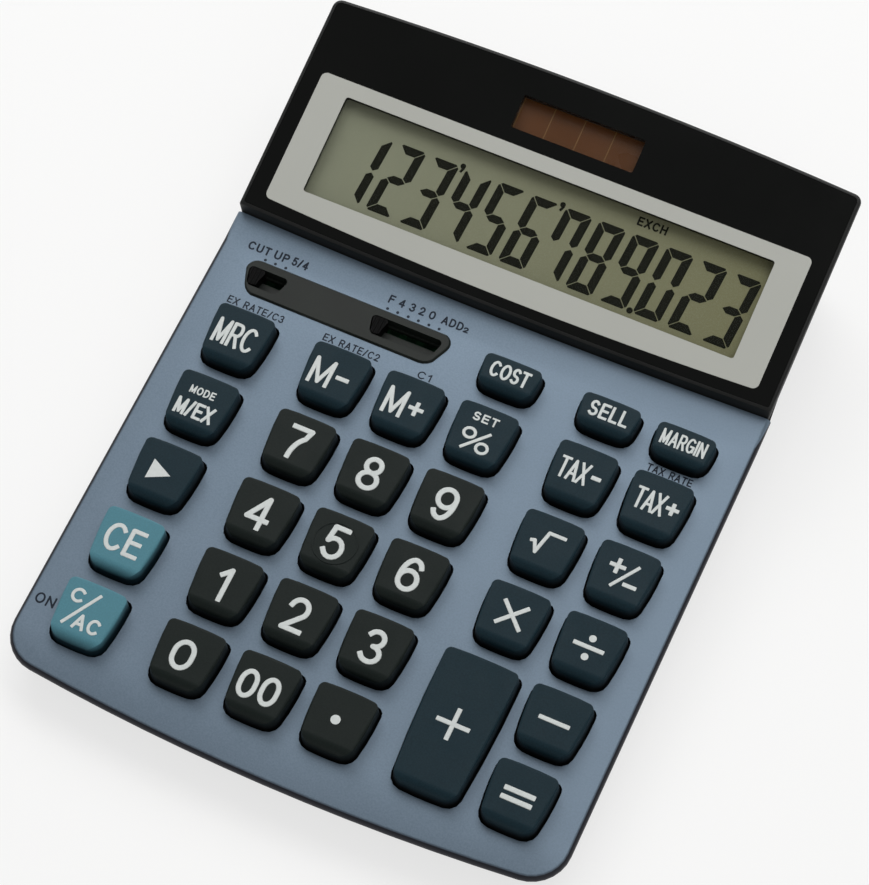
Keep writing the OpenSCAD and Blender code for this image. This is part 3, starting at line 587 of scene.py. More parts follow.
@dataclass(frozen=True)
class Laminate(Finish):
    """Glass-filled board or film under lacquer, with conductor tracks that run along it."""

    colour: str = "#193d26"
    track: str = "#245234"
    track_w: float = 2.4
    roughness: float = 0.35
    track_range: Pair = (0.55, 0.7)
    bend: float = 1.2
    cloud: float = 5.0
    depth: float = 0.01
    track_relief: float = 0.5
    drift: Pair = (-0.06, 0.08)
    wave_turn: float = math.pi / 20.0

    def dress(self, surface: Surface) -> None:
        """Tracks as bands across the width, bent a little by noise, and lacquer that pools."""
        bands = add_node(surface.tree, "ShaderNodeTexWave", {"wave_type": "BANDS", "bands_direction": "X"}, {
            "Vector": surface.frame_of(Plane.KEYPAD),
            "Scale": per_mm(self.track_w) * self.wave_turn,
            "Distortion": self.bend,
            "Detail": 1.0,
        }).outputs["Fac"]
        surface.paint(surface.tint(bands, self.colour, self.track, self.track_range))
        surface.gloss(surface.clouds(self.cloud), self.roughness, self.drift)
        surface.relief(bands, self.depth, self.track_relief)


CASE_BLACK = MouldedPlastic("moulded_abs_black")
BASE_BLACK = MouldedPlastic("moulded_abs_base", "#161716", "#1e1f1e", roughness=0.52, grain=0.7, depth=0.025)
INNER_BLACK = MouldedPlastic("moulded_inner_plastic", "#2a2b2a", "#323332", roughness=0.5)
INSET_DARK = MouldedPlastic("moulded_inset_umber", "#161a17", "#1e231f", roughness=0.45, specular=0.2)
KNOB_BLACK = MouldedPlastic("moulded_knob_black", "#030303", "#060606", roughness=0.45, specular=0.06,
                            grain=0.4, depth=0.008)
# Each key's crown colour, then its skirt colour, which also paints the shade on its sides and front.
KEY_BLACK = KeyCap("key_number_black", "#171e1c", "#050606")
KEY_TEAL = KeyCap("key_function_teal", "#152931", "#060809")
KEY_PALE = KeyCap("key_clear_pale_teal", "#51828f", "#0a1c23", fade_low=1.7, fade_high=4.5, fleck=0.05)
FASCIA_BLUE = SatinSheet("anodised_sheet_blue_grey")
WINDOW_BLACK = GlossSheet("acrylic_window_black")
WINDOW_SILVER = GlossSheet("acrylic_window_silver_print", "#b4b5ae", "#b8b9b2", roughness=0.12, specular=0.3)
WINDOW_CLEAR = ClearSheet("acrylic_window_clear")
CRYSTAL = LiquidCrystal("liquid_crystal_panel")
SEGMENT_INK = PrintInk("liquid_crystal_segment_dark", "#15160f", "#1b1c14", roughness=0.5, specular=0.05)
SOLAR_BROWN = SolarFilm("amorphous_silicon_film")
LEGEND_INK = PrintInk("key_legend_ink")
FASCIA_INK = PrintInk("fascia_legend_ink", "#121a26", "#1c2532", roughness=0.6, specular=0.2)
FOOT_RUBBER = SoftRubber("foot_rubber")
DOME_RUBBER = SoftRubber("silicone_keypad", "#8d8f8c", "#9a9c98", roughness=0.7)
SLEEVE_FILM = GlossSheet("capacitor_sleeve", "#23304a", "#2b3a57", roughness=0.3, specular=0.4)
CHIP_RESIN = SoftRubber("epoxy_chip_cover", "#121212", "#191919", roughness=0.4)
STEEL = PlatedMetal("zinc_plated_steel")
BRASS = PlatedMetal("spring_brass", "#c9a24a", "#a5833a", roughness=0.28)
BOARD_GREEN = Laminate("printed_board_green")
RIBBON_AMBER = Laminate("ribbon_film_amber", "#a27f38", "#c39a4a", track_w=1.0, roughness=0.3)


# Modelling


# Points of a solid nearer than this are merged, and points this near to a cut count as on it, in metres
MERGE = 2e-6
ON_CUT = 1e-6


def only(piece: Piece) -> None:
    """Select one object alone and make it active."""
    bpy.ops.object.select_all(action="DESELECT")
    piece.select_set(True)
    bpy.context.view_layer.objects.active = piece


def open_mesh(piece: Piece) -> None:
    """Open a piece in edit mode with all of it selected."""
    only(piece)
    bpy.ops.object.mode_set(mode="EDIT")
    bpy.ops.mesh.select_all(action="SELECT")


def raise_sheet(height: float) -> None:
    """Raise the flat mesh in edit mode to a closed plate, and leave edit mode."""
    bpy.ops.mesh.select_all(action="SELECT")
    bpy.ops.mesh.extrude_region_move(TRANSFORM_OT_translate={"value": (0.0, 0.0, height)})
    bpy.ops.mesh.select_all(action="SELECT")
    bpy.ops.mesh.normals_make_consistent(inside=False)
    bpy.ops.object.mode_set(mode="OBJECT")


def twin(source: Piece, name: str) -> Piece:
    """A copy of a piece, with a mesh of its own."""
    copy = bpy.data.objects.new(name, source.data.copy())
    bpy.context.scene.collection.objects.link(copy)
    return copy


def settle(piece: Piece, matrix: Matrix) -> Piece:
    """Place a piece and leave its object at the origin.

    Args:
        piece: Piece to place.
        matrix: Where it goes, from its own frame to the world.

    Returns:
        The same piece, with its place in its mesh.
    """
    only(piece)
    piece.matrix_world = matrix @ piece.matrix_world
    bpy.ops.object.transform_apply(location=True, rotation=True, scale=True)
    return piece


def join(name: str, pieces: Sequence[Piece]) -> Piece:
    """Join pieces into one object.

    Args:
        name: Name of the joined piece.
        pieces: What is joined.

    Returns:
        The joined object.
    """
    bpy.ops.object.select_all(action="DESELECT")
    for piece in pieces:
        piece.select_set(True)
    bpy.context.view_layer.objects.active = pieces[0]
    if len(pieces) > 1:
        bpy.ops.object.join()
    whole = bpy.context.view_layer.objects.active
    whole.name = name
    whole.data.name = name
    return whole


def finish_modifier(piece: Piece, kind: str, settings: Dict[str, Any]) -> None:
    """Add one modifier with its settings and apply it.

    Args:
        piece: Piece that takes it.
        kind: Blender's name for the modifier type.
        settings: Properties to set on it.
    """
    only(piece)
    modifier = piece.modifiers.new(kind.lower(), kind)
    for key, value in settings.items():
        setattr(modifier, key, value)
    bpy.ops.object.modifier_apply(modifier=modifier.name)


def rounded_plate(name: str, x: Pair, y: Pair, z: Pair, radius: float, steps: int = 8) -> Piece:
    """A flat plate with round corners, in the millimetres of its plane.

    Args:
        name: Name of the piece.
        x: Left and right edge.
        y: Front and back edge.
        z: Underside and top.
        radius: Corner radius.
        steps: Segments of each corner.

    Returns:
        The plate, at the origin.
    """
    bpy.ops.object.select_all(action="DESELECT")
    bpy.ops.mesh.primitive_plane_add(size=1.0, location=((x[0] + x[1]) / 2, (y[0] + y[1]) / 2, z[0]))
    plate = bpy.context.object
    plate.name = name
    plate.scale = (x[1] - x[0], y[1] - y[0], 1.0)
    bpy.ops.object.transform_apply(location=True, rotation=True, scale=True)
    open_mesh(plate)
    bpy.ops.mesh.bevel(affect="VERTICES", offset=radius, segments=steps, profile=0.5)
    raise_sheet(z[1] - z[0])
    return plate


def cut(piece: Piece, tools: Sequence[Piece]) -> None:
    """Take tool shapes away from a piece and remove the tools.

    Args:
        piece: Piece to cut.
        tools: Closed shapes to take away.
    """
    for tool in tools:
        finish_modifier(piece, "BOOLEAN", {"operation": "DIFFERENCE", "solver": "EXACT", "object": tool})
        bpy.data.objects.remove(tool, do_unlink=True)


def smooth_copy(node: str, name: str, angle: float) -> Piece:
    """A merged copy of a CAD node whose faceted rounds are shaded smooth.

    Args:
        node: CAD node to copy.
        name: Name of the copy.
        angle: Edges sharper than this many degrees stay crisp.

    Returns:
        The copy, which stands for the node.
    """
    copy = twin(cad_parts[node], name)
    copy.data.materials.clear()
    open_mesh(copy)
    bpy.ops.mesh.remove_doubles(threshold=MERGE)
    bpy.ops.mesh.customdata_custom_splitnormals_clear()
    bpy.ops.object.mode_set(mode="OBJECT")
    bpy.ops.object.shade_smooth_by_angle(angle=math.radians(angle))
    return copy


def part_off(piece: Piece, place: Vector, normal: Vector, above: bool) -> None:
    """Cut a piece along a plane, close the cut and keep one side.

    Args:
        piece: Piece to cut.
        place: Point on the plane.
        normal: Upward direction off the plane.
        above: Whether the upper side is kept.
    """
    open_mesh(piece)
    bpy.ops.mesh.bisect(plane_co=place, plane_no=normal, use_fill=True, clear_inner=above,
                        clear_outer=not above, threshold=ON_CUT)
    bpy.ops.object.mode_set(mode="OBJECT")


def loose_pieces(piece: Piece) -> List[Piece]:
    """Part a piece into the closed shells that it is made of.

    Args:
        piece: Piece to part.

    Returns:
        Its shells, the piece among them.
    """
    open_mesh(piece)
    bpy.ops.mesh.separate(type="LOOSE")
    bpy.ops.object.mode_set(mode="OBJECT")
    return list(bpy.context.selected_objects)


def dress(piece: Piece, finish: Finish) -> None:
    """Give a piece one finish all over."""
    if not piece.material_slots:
        piece.data.materials.append(None)
    for slot in piece.material_slots:
        slot.material = finish.material()


def add_piece(piece: Piece, body: str, finish: Finish,
              node: Optional[str] = None) -> Piece:
    """Dress a new piece, let it ride on its body, and hide the CAD node that it replaces.

    Args:
        piece: The finished mesh, at the origin.
        body: CAD body that carries it.
        finish: Its finish.
        node: CAD node that it replaces.

    Returns:
        The same piece.
    """
    dress(piece, finish)
    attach(piece, body)
    if node:
        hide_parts(node)
    LOG.info("%s rides on %s in %s", piece.name, body, finish.name)
    return piece


def dress_nodes(finish: Finish, nodes: Sequence[str]) -> None:
    """Give CAD nodes a finish.

    Args:
        finish: Their finish.
        nodes: Names of the nodes.
    """
    for node in nodes:
        dress(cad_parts[node], finish)
        LOG.info("%s keeps its solid in %s", node, finish.name)


# Lettering of one even stroke


def arc(x: float, y: float, rx: float, ry: float, start: float, end: float, steps: int = 14) -> List[Point]:
    """Points along part of an ellipse.

    Args:
        x: Centre across.
        y: Centre up.
        rx: Radius across.
        ry: Radius up.
        start: First angle in degrees.
        end: Last angle in degrees.
        steps: Number of straight pieces.

    Returns:
        The points, ends included.
    """
    angles = [math.radians(start + (end - start) * i / steps) for i in range(steps + 1)]
    return [(x + rx * math.cos(t), y + ry * math.sin(t)) for t in angles]


@dataclass(frozen=True)
class Glyph:
    """One sign: its strokes in a box of one by one, and the box's width as a share of its height."""

    width: float
    strokes: Tuple[List[Point], ...]


def numerals() -> Dict[str, Glyph]:
    """The ten numerals."""
    stem = arc(0.52, 0.74, 0.43, 0.26, 18, 96, 8) + arc(0.55, 0.42, 0.55, 0.58, 104, 180, 10)
    bowl = arc(0.5, 0.31, 0.5, 0.31, 180, 540, 24)
    return {
        "0": Glyph(0.62, (
            arc(0.5, 0.58, 0.5, 0.42, 0, 180) + arc(0.5, 0.42, 0.5, 0.42, 180, 360) + [(1.0, 0.58)],
        )),
        "1": Glyph(0.26, ([(0.0, 0.78), (1.0, 1.0), (1.0, 0.0)],)),
        "2": Glyph(0.6, (arc(0.5, 0.7, 0.47, 0.3, 168, -36) + [(0.02, 0.0), (1.0, 0.0)],)),
        "3": Glyph(0.6, (arc(0.47, 0.755, 0.44, 0.245, 152, -90) + arc(0.47, 0.255, 0.52, 0.255, 90, -155),)),
        "4": Glyph(0.66, ([(0.74, 0.0), (0.74, 1.0), (0.0, 0.28), (1.0, 0.28)],)),
        "5": Glyph(0.6, ([(0.92, 1.0), (0.2, 1.0), (0.1, 0.52)] + arc(0.5, 0.32, 0.49, 0.32, 142, -152),)),
        "6": Glyph(0.6, (stem, bowl)),
        "7": Glyph(0.6, ([(0.0, 1.0), (1.0, 1.0)] + arc(1.3, 0.0, 0.98, 0.8, 102, 180)[3:],)),
        "8": Glyph(0.6, (
            arc(0.5, 0.765, 0.41, 0.235, -90, 270, 24), arc(0.5, 0.265, 0.5, 0.265, 90, 450, 24),
        )),
        "9": Glyph(0.6, ([(1 - x, 1 - y) for x, y in stem], [(1 - x, 1 - y) for x, y in bowl])),
    }


def letters() -> Dict[str, Glyph]:
    """Capitals and signs that the legends use."""
    ring = arc(0.5, 0.5, 0.5, 0.5, 0, 360, 28)
    loop = [(0.0, 0.0), (0.0, 1.0), (0.62, 1.0)] + arc(0.62, 0.74, 0.38, 0.26, 90, -90) + [(0.0, 0.48)]
    return {
        "A": Glyph(0.72, ([(0.0, 0.0), (0.5, 1.0), (1.0, 0.0)], [(0.26, 0.3), (0.74, 0.3)])),
        "C": Glyph(0.74, (arc(0.54, 0.5, 0.54, 0.5, 46, 314, 20),)),
        "D": Glyph(0.7, (
            [(0.0, 0.0), (0.0, 1.0), (0.42, 1.0)] + arc(0.42, 0.5, 0.58, 0.5, 90, -90) + [(0.0, 0.0)],
        )),
        "E": Glyph(0.58, ([(1.0, 1.0), (0.0, 1.0), (0.0, 0.0), (1.0, 0.0)], [(0.0, 0.52), (0.9, 0.52)])),
        "F": Glyph(0.55, ([(1.0, 1.0), (0.0, 1.0), (0.0, 0.0)], [(0.0, 0.52), (0.85, 0.52)])),
        "G": Glyph(0.76, (arc(0.52, 0.5, 0.52, 0.5, 48, 345, 20), [(1.0, 0.1), (1.0, 0.45), (0.6, 0.45)])),
        "H": Glyph(0.68, ([(0.0, 0.0), (0.0, 1.0)], [(1.0, 0.0), (1.0, 1.0)], [(0.0, 0.52), (1.0, 0.52)])),
        "I": Glyph(0.0, ([(0.0, 0.0), (0.0, 1.0)],)),
        "L": Glyph(0.54, ([(0.0, 1.0), (0.0, 0.0), (1.0, 0.0)],)),
        "M": Glyph(0.78, ([(0.0, 0.0), (0.0, 1.0), (0.5, 0.06), (1.0, 1.0), (1.0, 0.0)],)),
        "N": Glyph(0.7, ([(0.0, 0.0), (0.0, 1.0), (1.0, 0.0), (1.0, 1.0)],)),
        "O": Glyph(0.8, (ring,)),
        "P": Glyph(0.6, (loop,)),
        "R": Glyph(0.64, (loop, [(0.62, 0.38), (1.0, 0.0)])),
        "S": Glyph(0.62, (arc(0.5, 0.745, 0.45, 0.255, 32, 270) + arc(0.5, 0.245, 0.5, 0.245, 90, -148),)),
        "T": Glyph(0.64, ([(0.0, 1.0), (1.0, 1.0)], [(0.5, 1.0), (0.5, 0.0)])),
        "U": Glyph(0.68, ([(0.0, 1.0), (0.0, 0.36)] + arc(0.5, 0.36, 0.5, 0.36, 180, 360) + [(1.0, 1.0)],)),
        "X": Glyph(0.68, ([(0.0, 0.0), (1.0, 1.0)], [(0.0, 1.0), (1.0, 0.0)])),
        "/": Glyph(0.36, ([(0.0, 0.0), (1.0, 1.0)],)),
        "%": Glyph(1.2, (
            arc(0.2, 0.76, 0.2, 0.24, 0, 360), arc(0.8, 0.24, 0.2, 0.24, 0, 360), [(0.14, 0.0), (0.86, 1.0)],
        )),
        " ": Glyph(0.3, ()),
    }


GLYPHS: Dict[str, Glyph] = {**numerals(), **letters()}


class Mark:
    """Something printed. Each kind gives its own mesh."""

    def model(self, depth: float) -> Piece:
        """Give a mesh of that thickness with its underside at z = 0; each kind gives its own."""
        raise NotImplementedError


@dataclass(frozen=True)
class Pen(Mark):
    """A stroke along straight and curved paths in millimetres: blunt at its ends, round at its corners."""

    paths: Tuple[Tuple[Point, ...], ...]
    width: float = 1.1
    sharp: float = 40.0
    near: float = 1e-4

    def model(self, depth: float) -> Piece:
        """Run a round bevel along each path and flatten it to a thin print.

        Args:
            depth: Thickness of the print.

        Returns:
            A mesh on its plane, with its underside at z = 0.
        """
        bpy.ops.object.select_all(action="DESELECT")
        bpy.ops.curve.primitive_nurbs_path_add()
        ink = bpy.context.object
        ink.data.splines.clear()
        ink.data.dimensions = "3D"
        ink.data.bevel_depth = self.width / 2
        ink.data.bevel_resolution = 2
        for path in self.paths:
            runs = self.runs(path)
            closed = (runs[0][0] - runs[-1][-1]).length < self.near
            for place, run in enumerate(runs):
                if closed and len(runs) == 1:
                    self.spin(ink.data, [(point, 1.0) for point in run[:-1]], True)
                else:
                    self.lay(ink.data, run, not closed and place == 0, not closed and place == len(runs) - 1)
        bpy.ops.object.convert(target="MESH")
        ink = bpy.context.object
        flatten = Matrix.Diagonal((1.0, 1.0, depth / self.width, 1.0))
        return settle(ink, Matrix.Translation((0.0, 0.0, depth / 2)) @ flatten)

    def runs(self, path: Sequence[Point]) -> List[List[Vector]]:
        """Part a path at its sharp corners, so that each corner is round.

        Args:
            path: Points of the path.

        Returns:
            Runs of points without a sharp corner.
        """
        points = [Vector((x, y, 0.0)) for x, y in path]
        points = [q for i, q in enumerate(points) if i == 0 or (q - points[i - 1]).length > self.near]
        runs = [[points[0]]]
        for i in range(1, len(points)):
            runs[-1].append(points[i])
            if i + 1 < len(points):
                turn = (points[i + 1] - points[i]).angle(points[i] - points[i - 1])
                if turn > math.radians(self.sharp):
                    runs.append([points[i]])
        return runs

    def lay(self, curve: bpy.types.Curve, run: Sequence[Vector], blunt_head: bool, blunt_tail: bool) -> None:
        """Add one run to the curve, each end cut blunt or drawn in to a half circle.

        Args:
            curve: Curve that takes it.
            run: Its points.
            blunt_head: Whether its first end is cut blunt.
            blunt_tail: Whether its last end is cut blunt.
        """
        half = self.width / 2
        first = (run[0] - run[1]).normalized()
        last = (run[-1] - run[-2]).normalized()
        head = [(run[0] + first * half * step, radius) for step, radius in reversed(self.swell(blunt_head))]
        tail = [(run[-1] + last * half * step, radius) for step, radius in self.swell(blunt_tail)]
        self.spin(curve, head + [(point, 1.0) for point in run[1:-1]] + tail, False)

    def swell(self, blunt: bool) -> List[Tuple[float, float]]:
        """How far an end runs on and how wide it is there, in half widths."""
        if blunt:
            return [(0.0, 1.0), (0.72, 1.0), (0.92, 0.92), (1.0, 0.74), (1.01, 0.02)]
        return [(0.0, 1.0), (0.38, 0.92), (0.71, 0.7), (0.92, 0.38), (1.0, 0.02)]

    def spin(self, curve: bpy.types.Curve, points: Sequence[Tuple[Vector, float]], closed: bool) -> None:
        """Add one spline to the curve.

        Args:
            curve: Curve that takes it.
            points: Places with the stroke's width there.
            closed: Whether the end meets the start.
        """
        spline = curve.splines.new("POLY")
        spline.points.add(len(points) - 1)
        spline.use_cyclic_u = closed
        for spot, (place, radius) in zip(spline.points, points):
            spot.co = (place.x, place.y, 0.0, 1.0)
            spot.radius = radius


@dataclass(frozen=True)
class Word(Mark):
    """Lettering whose ink fills a box centred on a point, in millimetres."""

    text: str
    x: float
    y: float
    width: float
    height: float
    pen: float = 1.1
    gap: float = 0.24
    pen_room: float = 0.8
    least: float = 0.01

    def model(self, depth: float) -> Piece:
        """Set the signs side by side and draw them with one pen.

        Args:
            depth: Thickness of the print.

        Returns:
            A mesh on its plane, with its underside at z = 0.
        """
        inner = (self.width - self.pen, self.height - self.pen)
        signs = [GLYPHS[sign] for sign in self.text]
        spare = self.pen / inner[1] * self.pen_room
        total = sum(sign.width for sign in signs) + (self.gap + spare) * (len(signs) - 1)
        scale = inner[0] / max(total, self.least)
        left = self.x - inner[0] / 2
        low = self.y - inner[1] / 2
        paths: List[Tuple[Point, ...]] = []
        for sign in signs:
            for stroke in sign.strokes:
                paths.append(tuple((left + x * sign.width * scale, low + y * inner[1]) for x, y in stroke))
            left += (sign.width + self.gap + spare) * scale
        return Pen(tuple(paths), self.pen).model(depth)


def line(start: Point, end: Point, width: float = 1.1) -> Pen:
    """One straight blunt stroke whose ink ends at the two points.

    Args:
        start: First end.
        end: Other end.
        width: Width of the stroke.

    Returns:
        The stroke.
    """
    run = (Vector(end) - Vector(start)).normalized() * (width / 2)
    inner = (Vector(start) + run, Vector(end) - run)
    return Pen((tuple((point.x, point.y) for point in inner),), width)


@dataclass(frozen=True)
class Dot(Mark):
    """A round spot of ink."""

    x: float
    y: float
    diameter: float
    roundness: float = 0.98
    steps: int = 6

    def model(self, depth: float) -> Piece:
        """Round a small plate right off.

        Args:
            depth: Thickness of the print.

        Returns:
            A mesh on its plane, with its underside at z = 0.
        """
        r = self.diameter / 2
        x = (self.x - r, self.x + r)
        y = (self.y - r, self.y + r)
        return rounded_plate("dot", x, y, (0.0, depth), r * self.roundness, self.steps)


@dataclass(frozen=True)
class Shape(Mark):
    """A flat shape with straight sides between its corners."""

    corners: Tuple[Point, ...]

    def model(self, depth: float) -> Piece:
        """Bring a ring of as many points to the corners, fill it and raise it.

        Args:
            depth: Thickness of the print.

        Returns:
            A mesh on its plane, with its underside at z = 0.
        """
        bpy.ops.object.select_all(action="DESELECT")
        bpy.ops.mesh.primitive_circle_add(vertices=len(self.corners), radius=1.0, fill_type="NGON")
        shape = bpy.context.object
        for vertex, corner in zip(shape.data.vertices, self.corners):
            vertex.co = (corner[0], corner[1], 0.0)
        open_mesh(shape)
        raise_sheet(depth)
        return shape


def print_marks(name: str, marks: Sequence[Mark], plane: Plane, at: Place = (0.0, 0.0, 0.0),
                depth: float = 0.03, step: float = 0.06) -> Piece:
    """Print marks on a plane as one thin piece.

    Args:
        name: Name of the piece.
        marks: Words, strokes, dots and shapes.
        plane: Face that carries them.
        at: Their origin on the plane and the face's height, in millimetres.
        depth: Thickness of the print; a third of it is sunk in the face.
        step: Share by which each mark is thicker than the last, so that none flickers.

    Returns:
        The joined print, placed.
    """
    whole = join(name, [mark.model(depth * (1.0 + step * layer)) for layer, mark in enumerate(marks)])
    return settle(whole, LAYOUT.matrix(plane) @ Matrix.Translation((at[0], at[1], at[2] - depth / 3)))


# Sub-assemblies


@dataclass
class Case:
    """Upper and lower case and the display housing, with what closes the underside."""

    smooth_angle: float = 32.0
    shells: Dict[str, Finish] = field(default_factory=lambda: {
        "upper_case": CASE_BLACK, "display_housing": CASE_BLACK, "lower_case": BASE_BLACK,
    })

    def build(self) -> None:
        """Smooth the shells and dress the underside."""
        for node, finish in self.shells.items():
            add_piece(smooth_copy(node, node + "_moulding", self.smooth_angle), BASE, finish, node)
        dress_nodes(BASE_BLACK, ["battery_cover"])
        dress_nodes(STEEL, ["battery_cover_screw", "case_screws", "board_screws", "holder_screws"])
        dress_nodes(STEEL, ["button_cell"])
        dress_nodes(FOOT_RUBBER, ["rubber_feet"])
        dress_nodes(BRASS, ["cell_plus_contact", "cell_minus_contact"])


@dataclass
class Fascia:
    """The bent metal sheet and the words printed on it."""

    smooth_angle: float = 40.0
    dot_d: float = 0.8
    dot_y: float = 131.1
    rounding_x: Tuple[float, ...] = (-62.6, -59.7, -56.7)
    decimal_x: Tuple[float, ...] = (-27.4, -24.5, -21.5, -18.6, -15.6, -12.7)

    def build(self) -> None:
        """Smooth the sheet's roll and print its words."""
        add_piece(smooth_copy("keypad_fascia", "keypad_fascia_sheet", self.smooth_angle), BASE, FASCIA_BLUE,
                  "keypad_fascia")
        add_piece(print_marks("fascia_words", self.words(), Plane.KEYPAD), BASE, FASCIA_INK)
        add_piece(print_marks("strip_words", self.strip_words(), Plane.STRIP), BASE, FASCIA_INK)

    def words(self) -> List[Mark]:
        """Words and dots on the flat of the sheet."""
        dots: List[Mark] = [Dot(x, self.dot_y, self.dot_d) for x in self.rounding_x + self.decimal_x]
        return dots + [
            Word("EX RATE/C3", -58.5, 116.95, 16.1, 2.2, 0.37),
            Word("EX RATE/C2", -31.1, 116.95, 15.9, 2.2, 0.37),
            Word("C1", -10.4, 117.0, 3.7, 2.2, 0.37),
            Word("TAX RATE", 57.85, 116.85, 12.3, 2.2, 0.37),
            Word("ON", -70.5, 21.3, 5.4, 3.0, 0.5),
        ]

    def strip_words(self) -> List[Mark]:
        """Words above the switches, on the bent-up strip."""
        return [
            Word("CUT", -65.4, 133.6, 6.4, 2.5, 0.5),
            Word("UP", -59.0, 133.7, 4.2, 2.5, 0.5),
            Word("5/4", -53.7, 133.8, 4.6, 2.5, 0.48),
            Word("F", -27.4, 134.0, 1.6, 2.4, 0.46),
            Word("4", -24.5, 134.0, 1.7, 2.4, 0.46),
            Word("3", -21.5, 134.0, 1.6, 2.4, 0.46),
            Word("2", -18.8, 134.0, 1.6, 2.4, 0.46),
            Word("0", -15.9, 134.0, 1.7, 2.4, 0.46),
            Word("ADD", -10.1, 134.0, 6.0, 2.4, 0.46),
            Word("2", -6.2, 133.6, 1.4, 1.6, 0.4),
        ]


class Segment(Enum):
    """The seven strokes of a digit."""

    TOP = "a"
    UPPER_RIGHT = "b"
    LOWER_RIGHT = "c"
    BOTTOM = "d"
    LOWER_LEFT = "e"
    UPPER_LEFT = "f"
    MIDDLE = "g"


STROKES: Dict[str, str] = {
    "0": "abcdef", "1": "bc", "2": "abged", "3": "abgcd", "4": "fgbc",
    "5": "afgcd", "6": "afgecd", "7": "fabc", "8": "abcdefg", "9": "abcdfg",
}


@dataclass
class Display:
    """Window with its print and clear openings, the liquid crystal panel and the solar cell."""

    opening_x: Pair = (-60.8, 60.8)
    opening_y: Pair = (9.5, 37.7)
    opening_r: float = 0.8
    solar_x: Pair = (-17.25, 17.25)
    solar_y: Pair = (46.15, 55.7)
    print_x: Pair = (-69.5, 69.5)
    print_y: Pair = (4.2, 42.0)
    print_r: float = 1.6
    print_z: Pair = (-0.02, 0.03)
    print_bow: float = 1.9
    bow_steps: int = 24
    pane_z: Pair = (-0.6, -0.02)
    pane_fit: float = 0.02
    cutter_z: Pair = (-3.0, 3.0)
    smooth_angle: float = 40.0
    ink_t: float = 0.03
    ink_sink: float = 0.01
    crystal_z: float = -3.0
    shown: str = "123456789023"
    first_x: float = -52.3
    pitch: float = 9.5
    digit_w: float = 7.5
    digit_top: float = 32.0
    digit_low: float = 11.95
    stroke: float = 2.35
    corner: float = 0.75
    tip: float = 0.9
    slit: float = 0.14
    slant: float = 4.5
    middle_share: float = 0.46
    comma_x: Pair = (-25.0, 3.5)

    def build(self) -> None:
        """Cut and print the window, and show a number on the panel."""
        self.window()
        add_piece(self.silver_print(), BASE, WINDOW_SILVER)
        self.pane("crystal_pane", self.opening_x, self.opening_y)
        self.pane("solar_pane", self.solar_x, self.solar_y)
        dress_nodes(CRYSTAL, ["lcd_panel"])
        dress_nodes(SOLAR_BROWN, ["solar_cell"])
        dress_nodes(INNER_BLACK, ["display_holder"])
        dress_nodes(RIBBON_AMBER, ["lcd_ribbon", "solar_ribbon"])
        add_piece(self.number(), BASE, SEGMENT_INK)

    def pane(self, name: str, x: Pair, y: Pair) -> None:
        """Fill one opening with a clear pane.

        Args:
            name: Name of the pane.
            x: Left and right edge of the opening.
            y: Its front and back edge.
        """
        across = (x[0] + self.pane_fit, x[1] - self.pane_fit)
        along = (y[0] + self.pane_fit, y[1] - self.pane_fit)
        pane = rounded_plate(name, across, along, self.pane_z, self.opening_r)
        add_piece(settle(pane, LAYOUT.matrix(Plane.DISPLAY)), BASE, WINDOW_CLEAR)

    def cutters(self) -> List[Piece]:
        """Shapes of the two openings, placed in the world."""
        shapes = [
            rounded_plate("crystal_cutter", self.opening_x, self.opening_y, self.cutter_z, self.opening_r),
            rounded_plate("solar_cutter", self.solar_x, self.solar_y, self.cutter_z, self.opening_r / 2),
        ]
        return [settle(shape, LAYOUT.matrix(Plane.DISPLAY)) for shape in shapes]

    def window(self) -> None:
        """Cut the clear openings out of the black sheet."""
        sheet = smooth_copy("display_window", "window_sheet", self.smooth_angle)
        cut(sheet, self.cutters())
        add_piece(sheet, BASE, WINDOW_BLACK, "display_window")

    def silver_print(self) -> Piece:
        """A silver band round the opening, bowed along its front edge."""
        band = rounded_plate("silver_band", self.print_x, self.print_y, self.print_z, self.print_r)
        open_mesh(band)
        bpy.ops.mesh.quads_convert_to_tris()
        for step in range(1, self.bow_steps):
            x = self.print_x[0] + (self.print_x[1] - self.print_x[0]) * step / self.bow_steps
            bpy.ops.mesh.select_all(action="SELECT")
            bpy.ops.mesh.bisect(plane_co=(x, 0.0, 0.0), plane_no=(1.0, 0.0, 0.0))
        bpy.ops.object.mode_set(mode="OBJECT")
        half = self.print_x[1]
        middle = sum(self.print_y) / 2
        for vertex in band.data.vertices:
            if vertex.co.y < middle:
                share = 1.0 - (vertex.co.x / half) ** 2
                vertex.co.y -= self.print_bow * share
        hole = rounded_plate("band_cutter", self.opening_x, self.opening_y, self.cutter_z, self.opening_r)
        cut(band, [hole])
        return settle(band, LAYOUT.matrix(Plane.DISPLAY))

    def across(self) -> List[Point]:
        """Corners of the top stroke, in a digit whose lower left corner is at the origin."""
        w, h, s, c, k = self.digit_w, self.digit_top - self.digit_low, self.stroke, self.corner, self.slit
        return [
            (s + k, h - s), (c / 2 + k, h - c / 2), (c + k, h),
            (w - c - k, h), (w - c / 2 - k, h - c / 2), (w - s - k, h - s),
        ]

    def upright(self) -> List[Point]:
        """Corners of the upper left stroke: cut back at the digit's corner, pointed at its middle."""
        h, s, c, k = self.digit_top - self.digit_low, self.stroke, self.corner, self.slit
        middle = h / 2 + 2 * k
        return [
            (s, h - s - k), (s, middle + self.tip), (s / 2, middle),
            (0.0, middle + self.tip), (0.0, h - c - k), (c / 2, h - c / 2 - k),
        ]

